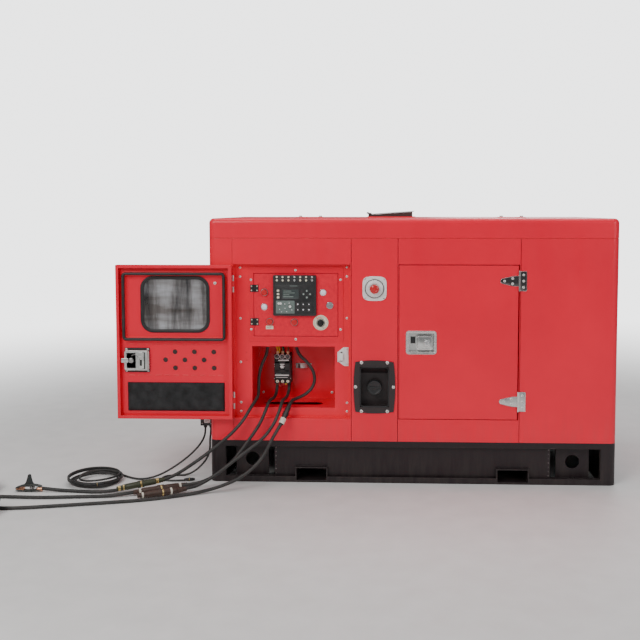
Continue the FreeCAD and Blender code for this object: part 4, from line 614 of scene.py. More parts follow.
def islands(node):
    """Boxes of a CAD node's separate solids, in millimetres: (lowest corner, highest corner, middle)."""
    bm = bmesh.new()
    bm.from_mesh(NODES[node].data)
    bmesh.ops.remove_doubles(bm, verts=bm.verts, dist=1e-6)
    seen = set()
    out = []
    for vert in bm.verts:
        if vert in seen:
            continue
        todo = [vert]
        seen.add(vert)
        points = []
        while todo:
            v = todo.pop()
            points.append(v.co)
            for edge in v.link_edges:
                w = edge.other_vert(v)
                if w not in seen:
                    seen.add(w)
                    todo.append(w)
        lo = Vector([min(p[k] for p in points) for k in range(3)]) * 1000
        hi = Vector([max(p[k] for p in points) for k in range(3)]) * 1000
        out.append((lo, hi, (lo + hi) / 2))
    bm.free()
    return out


# ---- several shapes in one piece, in millimetres -------------------------------------------------
def rounded(x0, x1, z0, z1, r, n=8):
    """Corner-rounded rectangle, anticlockwise, as (x, z)."""
    r = min(r, (x1 - x0) / 2, (z1 - z0) / 2)
    out = []
    for cx, cz, start in ((x1 - r, z0 + r, -90), (x1 - r, z1 - r, 0), (x0 + r, z1 - r, 90), (x0 + r, z0 + r, 180)):
        for i in range(n + 1):
            a = math.radians(start + 90 * i / n)
            out.append((cx + r * math.cos(a), cz + r * math.sin(a)))
    return out


def disc(x, z, r, n=40):
    """A circle's corners, anticlockwise, as (x, z)."""
    return [(x + r * math.cos(2 * math.pi * i / n), z + r * math.sin(2 * math.pi * i / n)) for i in range(n)]


def spun(a, b, profile, segments=32, slots=None):
    """Turned shape about the line from a to b: profile is (distance along, radius), slots a material a step."""
    a, b = Vector(a), Vector(b)
    axis = (b - a).normalized()
    side = axis.orthogonal().normalized()
    other = axis.cross(side)
    bm = bmesh.new()
    rings = []
    for t, r in profile:
        if r < 1e-6:
            rings.append([bm.verts.new(a + axis * t)])
            continue
        turn = [2 * math.pi * i / segments for i in range(segments)]
        rings.append([bm.verts.new(a + axis * t + (side * math.cos(w) + other * math.sin(w)) * r) for w in turn])
    for k, (lower, upper) in enumerate(zip(rings, rings[1:])):
        for i in range(segments):
            j = (i + 1) % segments
            quad = [lower[i % len(lower)], lower[j % len(lower)], upper[j % len(upper)], upper[i % len(upper)]]
            quad = list(dict.fromkeys(quad))
            if len(quad) > 2:
                bm.faces.new(quad).material_index = slots[k] if slots else 0
    for ring in (rings[0], rings[-1]):
        if len(ring) > 1:
            bm.faces.new(ring)
    bmesh.ops.recalc_face_normals(bm, faces=bm.faces)
    return bm


class Group:
    """A piece made of several shapes, each with its own finish. Millimetres until it is done."""
    def __init__(self, name):
        self.name = name
        self.bm = bmesh.new()
        self.mats = []

    def add(self, part, mat):
        mat = M.get(mat, mat)
        if mat not in self.mats:
            self.mats.append(mat)
        index = self.mats.index(mat)
        for face in part.faces:
            face.material_index = index
        mesh = bpy.data.meshes.new("part")
        part.to_mesh(mesh)
        part.free()
        self.bm.from_mesh(mesh)
        bpy.data.meshes.remove(mesh)

    def block(self, x0, x1, y0, y1, z0, z1, mat, r=1.0, segs=2, tilt=None):
        lo = (x0, y0, z0)
        size = (x1 - x0, y1 - y0, z1 - z0)
        part = bmesh.new()
        bmesh.ops.create_cube(part, size=1.0)
        for v in part.verts:
            v.co = Vector([a + (c + 0.5) * s for a, c, s in zip(lo, v.co, size)])
        r = min([r] + [0.45 * s for s in size])
        bmesh.ops.bevel(part, geom=list(part.edges), offset=r, segments=segs, profile=0.5, affect="EDGES")
        if tilt:
            angle, axis, centre = tilt
            bmesh.ops.rotate(part, cent=centre, matrix=Matrix.Rotation(angle, 3, axis), verts=part.verts)
        self.add(part, mat)

    def slab(self, outline, y0, y1, mat, r=0.8, segs=2):
        """A plate across Y, from its front y0 to its back y1, its front edge rounded."""
        part = bmesh.new()
        front = [part.verts.new((x, y0, z)) for x, z in outline]
        back = [part.verts.new((x, y1, z)) for x, z in outline]
        n = len(outline)
        face = part.faces.new(front)
        part.faces.new(back[::-1])
        for i in range(n):
            j = (i + 1) % n
            part.faces.new((front[j], front[i], back[i], back[j]))
        bmesh.ops.recalc_face_normals(part, faces=part.faces)
        if r:
            bmesh.ops.bevel(part, geom=list(face.edges), offset=r, segments=segs, profile=0.5, affect="EDGES")
        self.add(part, mat)

    def band(self, outline, profile, mat):
        """A profile swept round a closed outline: each (out, y) is a place outwards of it and across it."""
        part = bmesh.new()
        n = len(outline)
        rings = []
        for i, (x, z) in enumerate(outline):
            px, pz = outline[i - 1]
            qx, qz = outline[(i + 1) % n]
            tx, tz = qx - px, qz - pz
            size = math.hypot(tx, tz)
            nx, nz = tz / size, -tx / size
            rings.append([part.verts.new((x + nx * o, y, z + nz * o)) for o, y in profile])
        m = len(profile)
        for i in range(n):
            for k in range(m):
                a, b = rings[i], rings[(i + 1) % n]
                part.faces.new((a[k], a[(k + 1) % m], b[(k + 1) % m], b[k]))
        bmesh.ops.recalc_face_normals(part, faces=part.faces)
        self.add(part, mat)

    def turned(self, a, b, profile, mat, segments=32):
        self.add(spun(a, b, profile, segments), mat)

    def stud(self, x, y, z, profile, mat, segments=32):
        """A turned shape that stands out of the front at y."""
        self.turned((x, y, z), (x, y - 1, z), profile, mat, segments)

    def stud_in(self, x, y, z, profile, mat, segments=32):
        """The same, running backwards from y."""
        self.turned((x, y, z), (x, y + 1, z), profile, mat, segments)

    def screw(self, x, y, z, r, h, head, out=-1):
        """A dome-headed screw standing h out of the face at y."""
        steps = [(h * math.sin(a), r * math.cos(a)) for a in [math.radians(d) for d in (0, 18, 36, 54, 72)]]
        profile = [(0, r * 0.98), (h * 0.12, r)] + [(h * 0.12 + t * 0.88, q)
                                                    for t, q in steps[1:]] + [(h, r * 0.12), (h, 0)]
        self.turned((x, y, z), (x, y + out, z), profile, head, 24)
        # the slot is a dark cross standing on the dome, not cut into it: painted shade of the recess
        y0, y1 = sorted((y + out * (h + 0.05), y + out * h * 0.8))
        turn = (math.radians((x * 7 + z * 3) % 90), "Y", (x, y, z))
        long, thin = r * 0.5, max(0.5, r * 0.11)
        for u, w in ((long, thin), (thin, long)):
            self.block(x - u, x + u, y0, y1, z - w, z + w, "slot", 0.1, 1, turn)

    def tube(self, points, r, mat, segments=10, smooth=6):
        """A round wire through the points, smoothed."""
        pts = [Vector(p) for p in points]
        line = []
        for i in range(len(pts) - 1):
            p0, p1 = pts[max(i - 1, 0)], pts[i]
            p2, p3 = pts[i + 1], pts[min(i + 2, len(pts) - 1)]
            for k in range(smooth):
                t = k / smooth
                line.append(0.5 * (2 * p1 + (p2 - p0) * t + (2 * p0 - 5 * p1 + 4 * p2 - p3) * t * t
                                   + (3 * p1 - p0 - 3 * p2 + p3) * t ** 3))
        line.append(pts[-1])
        part = bmesh.new()
        rings = []
        side = None
        for i, p in enumerate(line):
            along = (line[min(i + 1, len(line) - 1)] - line[max(i - 1, 0)]).normalized()
            side = along.orthogonal() if side is None else side - along * side.dot(along)
            side.normalize()
            other = along.cross(side)
            turn = [2 * math.pi * k / segments for k in range(segments)]
            rings.append([part.verts.new(p + (side * math.cos(w) + other * math.sin(w)) * r) for w in turn])
        for a, b in zip(rings, rings[1:]):
            for k in range(segments):
                j = (k + 1) % segments
                part.faces.new((a[k], a[j], b[j], b[k]))
        part.faces.new(rings[0][::-1])
        part.faces.new(rings[-1])
        bmesh.ops.recalc_face_normals(part, faces=part.faces)
        self.add(part, mat)

    def done(self, body, nodes="", angle=34):
        bmesh.ops.scale(self.bm, vec=(0.001,) * 3, verts=self.bm.verts)
        mesh = bpy.data.meshes.new(self.name)
        self.bm.to_mesh(mesh)
        self.bm.free()
        obj = link(self.name, mesh, self.mats)
        sharp_edges(obj, angle)
        if nodes:
            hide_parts(*nodes.split())
        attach(obj, body)
        return obj


def mat_set():
    """Fill M: one line for each finish."""
    M["red"] = paint("canopy_red_paint", (0.92, 0.004, 0.036), 0.36, (0.88, 0.12, 0.10), (0.30, 0.17, 0.13), 0.36)
    M["panel"] = paint("panel_red_paint", PANEL_RED, 0.34, (0.85, 0.22, 0.19), (0.30, 0.2, 0.16), 0.34, 0.1, 0.0015)
    M["base"] = paint("base_black_paint", (0.017, 0.010, 0.012), 0.40, (0.17, 0.14, 0.135), (0.085, 0.07, 0.06),
                      0.22, 0.2, 0.002, 0.05)
    M["zinc"] = steel("zinc_plated", (0.78, 0.78, 0.76), 0.3, (1.0, 1.0, 1.0), 0.12)
    M["white_screw"] = plain("screw_cap", (0.84, 0.82, 0.78), 0.32, 0.25, noise=(0.1, 160.0), bump=(0.1, 600.0))
    # dark marks: print on labels and plates, and screw slots drawn as dark marks on the heads, where the dark is
    # painted shade of the recess
    M["slot"] = plain("screw_slot", (0.11, 0.10, 0.095), 0.6, 0.4, noise=(0.2, 200.0))
    M["stainless"] = steel("stainless_sheet", (0.74, 0.74, 0.72), 0.27, (1.0, 1.0, 14.0))
    M["bright"] = steel("polished_steel", (0.80, 0.80, 0.78), 0.12, (14.0, 1.0, 1.0), 0.1, 0.0008, 0.3)
    M["galv"] = steel("galvanised_sheet", (0.70, 0.71, 0.69), 0.36, (3.0, 3.0, 3.0), 0.3, 0.0008, 0.35)
    M["chrome"] = steel("chrome_plate", (0.86, 0.86, 0.87), 0.08, (1.0, 1.0, 1.0), 0.04)
    M["black"] = plain("black_moulding", (0.020, 0.020, 0.021), 0.40, noise=(0.3, 50.0), bump=(0.3, 900.0))
    M["matt"] = plain("black_matt", (0.028, 0.027, 0.027), 0.62, noise=(0.3, 35.0), bump=(0.35, 700.0))
    M["case"] = plain("controller_case", (0.030, 0.030, 0.031), 0.33, noise=(0.2, 60.0), bump=(0.25, 1400.0))
    M["grey"] = plain("key_field_grey", (0.15, 0.19, 0.175), 0.42, noise=(0.12, 80.0))
    M["white"] = plain("white_moulding", (0.82, 0.82, 0.80), 0.34, noise=(0.06, 60.0), bump=(0.1, 700.0))
    M["cream"] = plain("cream_plate", (0.86, 0.80, 0.62), 0.38, noise=(0.07, 90.0), bump=(0.08, 900.0))
    M["rubber"] = plain("seal_rubber", (0.024, 0.023, 0.024), 0.50, noise=(0.35, 24.0), bump=(0.35, 420.0))
    M["red_cap"] = plain("button_red", (0.62, 0.012, 0.016), 0.26, noise=(0.1, 90.0), bump=(0.06, 900.0), coat=0.4)
    M["red_ink"] = plain("red_ink", (0.66, 0.05, 0.05), 0.42)
    M["steel"] = steel("grey_steel", (0.42, 0.41, 0.40), 0.42, (1.0, 6.0, 1.0), 0.3, 0.0008, 0.5)
    M["lens"] = lit("lamp_lens", (0.95, 0.93, 0.98), 0.18, (0.84, 0.82, 0.88), 0.18)
    M["screen"] = lit("display", (0.10, 0.13, 0.12), 0.10, (0.045, 0.055, 0.055), 0.12)
    M["screen_line"] = lit("display_line", (0.28, 0.34, 0.30), 0.25, (0.16, 0.2, 0.18), 0.2)
    M["clear"] = glass("clear_cap", (0.93, 0.94, 0.95), 0.1)
    M["yellow"] = plain("wire_yellow", (0.80, 0.48, 0.03), 0.42)
    M["green"] = plain("wire_green", (0.05, 0.20, 0.08), 0.42)
    M["wire_red"] = plain("wire_red", (0.60, 0.03, 0.03), 0.42)
    M["brown"] = plain("wire_brown", (0.16, 0.06, 0.03), 0.45)
    M["wire_black"] = plain("wire_black", (0.02, 0.02, 0.02), 0.42)
    M["pane"] = glass("window_pane", (0.90, 0.92, 0.92), 0.04, 0.5)
    M["foam"] = plain("acoustic_foam", (0.030, 0.030, 0.031), 0.85, noise=(0.4, 30.0), bump=(0.9, 620.0), spec=0.2)
    M["weld"] = steel("weld_bead", (0.34, 0.31, 0.30), 0.45, (30.0, 30.0, 30.0), 0.6, 0.0005, 0.6)
    M["gauze"] = plain("vent_gauze", (0.035, 0.014, 0.013), 0.7, noise=(0.4, 300.0), bump=(0.9, 1500.0))
    M["clamp"] = paint("clamp_enamel", (0.030, 0.036, 0.036), 0.42, (0.34, 0.29, 0.2), (0.1, 0.09, 0.07), 0.12, 0.3,
                       0.0008, 0.1)
    # a darker, glossier copy of the stainless for the upper strap hinge: the dark is painted shade
    M["glossy_stainless_painted_shade"] = steel("glossy_stainless_with_painted_shade", (0.17, 0.16, 0.16), 0.10, (1.0, 1.0, 1.0), 0.06, 0.0008, 0.4)
    M["holder"] = plain("holder_red", (0.42, 0.02, 0.018), 0.45, noise=(0.25, 40.0), bump=(0.3, 500.0))
    M["copper"] = steel("copper", (0.80, 0.42, 0.26), 0.3, (1.0, 1.0, 1.0), 0.1)


# ---- control bay ---------------------------------------------------------------------------------
def bay_hardware():
    """Screws of the bay, the striker of the door's latch and the leads' cable clamp."""
    g = Group("bay_hardware")
    for lo, hi, mid in islands("bay_fittings"):
        size = hi - lo
        if max(size.x, size.z) < 15:
            g.screw(mid.x, hi.y, mid.z, size.x / 2, size.y, "white_screw")
            g.stud(mid.x, hi.y, mid.z, [(0, size.x / 2), (0.6, size.x / 2), (0.7, size.x / 2 - 0.5)], "zinc", 24)
        elif size.z > size.x:
            # the striker: an upright plate with a raised lip, two ears and a bent tongue
            x0, x1, z0, z1 = lo.x, hi.x, lo.z, hi.z
            y = hi.y
            w = x1 - x0
            shape = [(x0 + w * 0.62, z0), (x1, z0), (x1, z1), (x0 + w * 0.55, z1), (x0, z1 - 22), (x0, z0 + 22)]
            g.slab(shape, y - 3, y, "white", 0.8)
            g.block(x0, x0 + 5, lo.y, y - 1, z0 + 20, z1 - 20, "white", 1.5, 3)
            g.block(x0 + 2, x0 + w * 0.5, lo.y + 1, lo.y + 4, z0 + 26, z1 - 26, "white", 1.0, 3)
            for dz in (-18, 18):
                g.stud(x0 + 18, y - 3, mid.z + dz, [(0, 5), (0.2, 5), (0.25, 0)], "slot", 20)
        else:
            # the cable clamp: a saddle strap over the leads on a foot at each end
            g.block(lo.x, hi.x, hi.y - 2, hi.y, lo.z, hi.z, "galv", 0.8)
            path = [(lo.x + 12, hi.y - 3), (lo.x + 20, hi.y - 15), (mid.x, lo.y + 1.5), (hi.x - 20, hi.y - 15),
                    (hi.x - 12, hi.y - 3)]
            for dz in (-8, -4, 0, 4, 8):
                g.tube([(x, y, mid.z + dz) for x, y in path], 2.2, "galv", 8)
    g.done("welder", "bay_fittings")
    finish([("panel", "control_enclosure panel_frame")])


def hinge_barrel(g, x, y, z0, z1, r, mat, knuckles):
    """Barrel of a butt hinge: knuckles with hairline gaps."""
    step = (z1 - z0) / knuckles
    for i in range(knuckles):
        a, b = z0 + i * step + 0.3, z0 + (i + 1) * step - 0.3
        g.turned((x, y, a), (x, y, b), [(0, r - 0.4), (0.4, r), (b - a - 0.4, r), (b - a, r - 0.4)], mat, 28)


def dot(g, x, y, z, r, mat):
    """A low round key or mark."""
    g.stud(x, y, z, [(0, r), (0.8, r * 0.94), (1.2, r * 0.6), (1.3, 0)], mat, 20)


def controller():
    """Generating-set controller: case, terminal strip, display, keys and lamps. All its marks are generic."""
    lo, hi, _ = islands("controller")[0]
    g = Group("controller_unit")
    front = hi.y - 57.5
    # places on its face are told in millimetres on a plan where its lower left corner is (178, 470), 186 high

    def px(u):
        return lo.x + (u - 178.0)

    def pz(v):
        return lo.z + (v - 470.0) * (hi.z - lo.z) / 186.0

    y = front + 1.5
    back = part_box("control_panel")[0].y * 1000 + 6.5
    g.block(lo.x + 8.3, hi.x - 8.3, back - 1, hi.y, lo.z + 8.3, hi.z - 8.3, "matt", 3, 3)
    g.slab(rounded(lo.x, hi.x, lo.z, hi.z, 6), y, back, "case", 2.2, 4)
    outline = rounded(lo.x + 7, hi.x - 7, lo.z + 7, pz(618), 5)
    g.band(outline, [(0, y + 0.3), (0, y - 0.9), (-1.4, y - 1.2), (-2.6, y - 0.9), (-2.8, y + 0.3)], "case")
    g.slab(rounded(lo.x + 10, hi.x - 10, pz(478), pz(614), 4), y - 0.35, y + 0.5, "black", 0.3)
    # terminal strip along the top with its two rows of light heads
    g.slab(rounded(lo.x + 3, hi.x - 3, pz(624), hi.z - 2, 2), y - 0.6, y + 0.5, "matt", 0.4)
    heads = [h[2] for h in islands("panel_fittings") if h[1].x - h[0].x < 10]
    for c in heads:
        g.block(c.x - 9, c.x + 9, y - 1.0, y, c.z - 6.4, c.z + 6.4, "black", 0.7)
        g.stud(c.x, y - 0.9, c.z, [(0, 4.7), (0.5, 4.7), (0.6, 3.9), (0.75, 3.9), (1.3, 3.2), (1.45, 0)],
               "cream" if (int(c.x) + int(c.z)) % 5 else "zinc", 24)
    # window: recessed frame, dark display, faint rows of characters as plain bars
    x0, x1, z0, z1 = px(220), px(297), pz(548), pz(593)
    g.band(rounded(x0, x1, z0, z1, 3), [(1.5, y), (1.5, y - 1.0), (0, y - 1.2), (-1.2, y - 0.4), (-1.2, y)], "case")
    g.slab(rounded(x0 + 1.2, x1 - 1.2, z0 + 1.2, z1 - 1.2, 2), y - 0.5, y, "screen", 0.1)
    for i, share in enumerate((0.55, 0.8, 0.42, 0.7)):
        z = z1 - 9 - i * 8.5
        g.block(x0 + 6, x0 + 6 + (x1 - x0 - 12) * share, y - 0.62, y - 0.4, z - 1.3, z + 1.3, "screen_line", 0.1, 1)
    for v in (586, 570, 555):
        g.block(px(196), px(207), y - 1.2, y, pz(v) - 4.5, pz(v) + 4.5, "cream", 0.9, 3)
    g.block(px(255), px(290), y - 0.6, y - 0.2, pz(606), pz(609), "grey", 0.1, 1)
    # pad of four keys about a centre, a row of six keys and a grey field of small ones
    for du, dv, r in ((0, 15, 4), (0, -15, 4), (15, 0, 4), (-15, 0, 4), (0, 0, 3)):
        g.stud(px(333 + du), y - 0.3, pz(570 + dv),
               [(0, r + 1.2), (0.4, r + 1.2), (0.6, r * 0.9), (1.2, r * 0.8), (1.3, 0)],
               "grey" if r == 4 else "case", 24)
        if r == 4:
            dot(g, px(333 + du), y - 1.1, pz(570 + dv), 1.7, "white")
    for u in (292, 317, 343):
        for v in (523, 498):
            x, z = px(u), pz(v)
            g.slab(rounded(x - 10.5, x + 10.5, z - 10, z + 10, 3), y - 0.55, y, "case", 0.2)
            g.stud(x, y - 0.4, z, [(0, 7.4), (0.6, 7.4), (0.9, 6.6), (1.3, 6.4), (1.5, 5.6), (1.55, 0)], "case", 28)
            dot(g, x - 0.6, y - 1.5, z + 0.8, 3.4 if (u + v) % 2 else 2.6, "lens")
    g.slab(rounded(px(191), px(277), pz(481), pz(540), 3), y - 0.7, y, "grey", 0.25)
    for u, v, r in ((204, 527, 5.5), (213, 527, 5.5), (232, 525, 2.6), (252, 529, 2.2), (233, 505, 2.2),
                    (256, 513, 6.0), (208, 500, 2.4), (264, 498, 2.2), (240, 490, 2.2), (217, 489, 2.0)):
        dot(g, px(u), y - 0.7, pz(v), r, "white")
    for u, v in ((256, 513), (208, 527), (232, 525)):
        g.band(disc(px(u), pz(v), 9.0 if u != 232 else 5.5, 28),
               [(0.5, y - 0.6), (0.5, y - 1.0), (-0.3, y - 1.0), (-0.3, y - 0.6)], "case")
    g.done("control_panel", "controller")


def panel_pieces():
    """Rings, lamps, key plate, lock, label and hinges of the inner panel."""
    g = Group("panel_details")
    for lo, hi, mid in islands("panel_fittings"):
        size = hi - lo
        x, z = mid.x, mid.z
        if size.x < 10:
            continue
        r = size.x / 2
        face = hi.y
        if size.x > 60:
            # key switch plate: cream disc with a rolled edge, a red arc and a ring of small marks
            g.slab(disc(x, z, r, 72), lo.y, face, "cream", 0.8, 3)
            g.band(disc(x, z, r - 4.5, 72), [(0.6, lo.y), (0.6, lo.y - 0.25), (-0.3, lo.y - 0.25), (-0.3, lo.y)],
                   "slot")
            marks = [(62 + i * 12, 24, 1.5 + 0.18 * i, 14, 0.3, "red_ink") for i in range(7)]
            marks += [(-150 + i * 30, 27, 0.9, 10, 0.25, "slot") for i in range(9)]
            for degrees, far, wide, n, high, mat in marks:
                a = math.radians(degrees)
                g.slab(disc(x + far * math.cos(a), z + far * math.sin(a), wide, n), lo.y - high, lo.y, mat, 0)
            g.band(disc(x, z, 18.5, 48), [(1.5, lo.y), (1.5, lo.y - 1.2), (0, lo.y - 1.8), (-1.5, lo.y - 1.2),
                                          (-1.5, lo.y)], "steel")
        elif size.z < 20:
            g.slab(rounded(lo.x, hi.x, lo.z, hi.z, 1.5), lo.y, face, "cream", 0.3)
            for i in range(3):
                w = z + 3 - 3 * i
                g.block(lo.x + 5, hi.x - 5 - 4 * i, lo.y - 0.15, lo.y + 0.1, w - 0.5, w + 0.5, "slot", 0.05, 1)
        elif abs(size.y - 8) < 0.6:
            # signal lamp: chromed bezel, ribbed white lens
            g.band(disc(x, z, r - 1.5, 40), [(1.5, face), (1.5, face - 2.2), (0.6, face - 3.4), (-1, face - 3.6),
                                             (-1.6, face - 2), (-1.6, face)], "chrome")
            steps = [math.radians(d) for d in (0, 15, 32, 50, 68, 84)]
            g.stud(x, face - 2.6, z, [(0, r - 3.2)] + [(5.2 * math.sin(a), (r - 3.2) * math.cos(a)) for a in steps]
                   + [(5.2, 0)], "lens", 36)
            for k in (0.38, 0.66):
                g.band(disc(x, z, (r - 3) * k, 32), [(0.5, face - 5.2 - 2.2 * (1 - k)),
                                                     (0, face - 5.9 - 2.2 * (1 - k)),
                                                     (-0.5, face - 5.2 - 2.2 * (1 - k))], "lens")
        elif abs(size.y - 3) < 0.3:
            g.band(disc(x, z, 15.8, 40), [(1.2, face), (1.2, face - 2), (0.2, face - 3), (-0.4, face - 3),
                                          (-0.4, face)], "chrome")
        else:
            # threaded ring of a push button with a ribbed nut edge
            g.band(disc(x, z, 15.6, 48), [(1.4, face), (1.4, face - 2.6), (0.5, face - 3.9), (-0.8, face - 4),
                                          (-1.1, face - 3), (-1.1, face)], "steel")
            for u, w in disc(x, z, 17, 24):
                g.block(u - 0.6, u + 0.6, face - 2.4, face, w - 0.6, w + 0.6, "steel", 0.2, 1)
    g.done("control_panel", "panel_fittings")
    leaf = two_tone("panel_and_leaf", 1, face / 1000 - 0.0001, ((0.02, 0.02, 0.02), 0.4, 0.0),
                    (PANEL_RED, 0.34, 0.0))
    finish([(leaf, "control_panel"), ("red_cap", "button_left button_lower_left button_lower_right"),
            ("chrome", "panel_lock"), ("black", "key_knob")])
    s = Group("panel_hinge_screws")
    for lo, hi, mid in islands("control_panel")[0:3]:
        if hi.x - lo.x < 40:
            for dz in (-9.5, 9.5):
                s.screw(hi.x - 6, lo.y + 3.6, mid.z + dz, 3.2, 1.4, "cream")
    s.done("control_panel")


def fixed_hinges():
    """Fixed leaves, barrels and screws of the panel's, the control door's and the service door's hinges."""
    g = Group("fixed_hinges")
    for lo, hi, mid in islands("hinge_fixed_leaves"):
        size = hi - lo
        if size.x < 12:
            g.screw(mid.x, hi.y, mid.z, size.x / 2 + 1.4, size.y + 0.6, "white_screw")
        elif size.z < 40:
            # black hinge of the inner panel, two pale screws
            g.block(lo.x, hi.x - 4, hi.y - 2.6, hi.y, lo.z, hi.z, "black", 0.8)
            hinge_barrel(g, hi.x - 3.6, lo.y + 3.6, lo.z, hi.z, 3.4, "black", 5)
            for dz in (-9.5, 9.5):
                g.screw(lo.x + 6, hi.y - 2.6, mid.z + dz, 3.2, 1.6, "cream")
        elif mid.x < 0:
            g.block(lo.x, hi.x - 6, hi.y - 2.2, hi.y, lo.z, hi.z, "galv", 0.8)
            hinge_barrel(g, hi.x - 4.6, lo.y + 4.6, lo.z, hi.z, 4.5, "galv", 5)
            for dz in (-26, 0, 26):
                g.screw(lo.x + 10, hi.y - 2.2, mid.z + dz, 4.2, 1.8, "zinc")
        else:
            # leaf of the service door's strap hinge
            # the upper leaf takes the darker copy of the stainless: painted shade
            leaf = "glossy_stainless_painted_shade" if mid.z > 700 else "stainless"
            g.slab(rounded(lo.x + 9, hi.x, lo.z, hi.z, 5), hi.y - 3, hi.y, leaf, 0.7, 3)
            g.band(rounded(lo.x + 9, hi.x, lo.z, hi.z, 5),
                   [(0, hi.y - 2.2), (-0.2, hi.y - 3.4), (-1.2, hi.y - 3.5), (-1.6, hi.y - 2.8)], "bright")
            hinge_barrel(g, lo.x + 4.6, lo.y + 4.6, lo.z, hi.z, 4.5, "bright", 5)
            for z in (lo.z, hi.z):
                g.turned((lo.x + 4.6, lo.y + 4.6, z - 1), (lo.x + 4.6, lo.y + 4.6, z + 1),
                         [(0, 3.2), (0.4, 3.6), (1.6, 3.6), (2, 3.2)], "bright", 24)
    g.done("welder", "hinge_fixed_leaves")


def breaker():
    """Moulded-case breaker: stepped body, clear terminal caps, pale bands, a rail clip and coloured wires."""
    lo, hi = box_mm("circuit_breaker")
    t_lo, t_hi = box_mm("breaker_toggle")
    cx = (lo.x + hi.x) / 2
    tz = (t_lo.z + t_hi.z) / 2
    g = Group("breaker_unit")
    f = lo.y
    w0, w1 = lo.x + 4, hi.x - 4
    g.block(w0, w1, f + 24, hi.y, lo.z + 2, hi.z - 18, "matt", 2, 3)
    g.block(w0 + 1.5, w1 - 1.5, f + 14, f + 30, lo.z + 22, hi.z - 40, "black", 2, 3)
    # frame round the toggle
    for x0, x1, z0, z1, r in ((w0 + 3, t_lo.x - 5, tz - 24, tz + 26, 2), (t_hi.x + 5, w1 - 3, tz - 24, tz + 26, 2),
                              (w0 + 3, w1 - 3, tz + 15, tz + 27, 1.5), (w0 + 3, w1 - 3, tz - 26, tz - 16, 1.5)):
        g.block(x0, x1, f + 7, f + 18, z0, z1, "matt", r, 3)
    # lips and labels
    for a, b, c, d in ((w0 + 20, w1 - 8, hi.z - 50, hi.z - 41), (w0 + 1, w1 - 4, hi.z - 66, hi.z - 60),
                       (w0 + 1, w1 - 4, hi.z - 76, hi.z - 71), (w0 + 4, w1 - 8, lo.z + 40, lo.z + 45),
                       (w0 + 8, w1 - 14, lo.z + 31, lo.z + 33)):
        g.block(a, b, f + 12, f + 15, c, d, "white", 0.5)
    g.block(w1 - 7, w1 - 5, f + 11, f + 15, tz - 14, tz + 4, "white", 0.4)
    for i in range(5):
        z = tz - 34 - 2.2 * i
        g.block(w0 + 10, w0 + 34, f + 13.2, f + 14.2, z - 0.5, z + 0.5, "grey", 0.1, 1)
    for i in (-1, 0, 1):
        x = cx + i * 25
        # upper terminals: clear cap over a screw and a lug
        g.block(x - 11, x + 11, f + 18, f + 46, hi.z - 34, hi.z - 20, "matt", 1.5)
        g.stud(x, f + 24, hi.z - 26, [(0, 8.5), (1.5, 8.5), (2, 7), (2.1, 0)], "zinc", 24)
        g.stud_in(x, f + 10, hi.z - 26, [(0, 0), (0, 6), (0.8, 9), (3, 11), (14, 11.5)], "clear", 28)
        g.band(disc(x, hi.z - 26, 10.5, 28), [(1.4, f + 20), (1.4, f + 11), (0, f + 9.5), (-0.8, f + 11),
                                              (-0.8, f + 20)], "white")
        g.block(x - 6, x + 6, f + 30, f + 33, hi.z - 22, hi.z - 2, "copper", 0.6)
        # lower terminals
        g.block(x - 10, x + 10, f + 18, f + 40, lo.z + 2, lo.z + 20, "matt", 1.5)
        g.stud(x, f + 19, lo.z + 12, [(0, 7), (1.6, 7), (2.2, 5.6), (2.3, 0)], "cream", 24)
        # the screw's slot as a dark mark: painted shade
        g.block(x - 1, x + 1, f + 16.4, f + 17, lo.z + 7, lo.z + 17, "slot", 0.1, 1)
    for x in (w0 + 2, w1 - 2):
        g.stud(x, f + 17, lo.z + 26, [(0, 3), (1, 3), (1.5, 2), (1.6, 0)], "zinc", 16)
    wires_end = 620                 # height at which the upper wires leave the bay
    for i, mat in ((-1.1, "yellow"), (-0.7, "yellow"), (0, "green"), (0.2, "wire_black"), (0.75, "wire_red"),
                   (1.05, "brown")):
        x = cx + i * 24
        g.tube([(x, f + 34, hi.z - 12), (x + 1, f + 33, hi.z + 6), (x - 2 + 3 * i, f + 40, hi.z + 24),
                (x, f + 60, wires_end)], 3.1, mat, 10)
    for i, mat, dip in ((-1.2, "brown", 10), (-0.6, "wire_red", 22), (0.3, "wire_red", 16), (0.9, "yellow", 8)):
        x = cx + i * 22
        g.tube([(x, f + 24, lo.z + 10), (x - 3, f + 18, lo.z - 2), (x - 8 * i, f + 22, lo.z - dip + 8),
                (x - 4, f + 44, lo.z + 2)], 2.1, mat, 8)
    g.done("welder", "circuit_breaker")
    finish([("white", "breaker_toggle")])


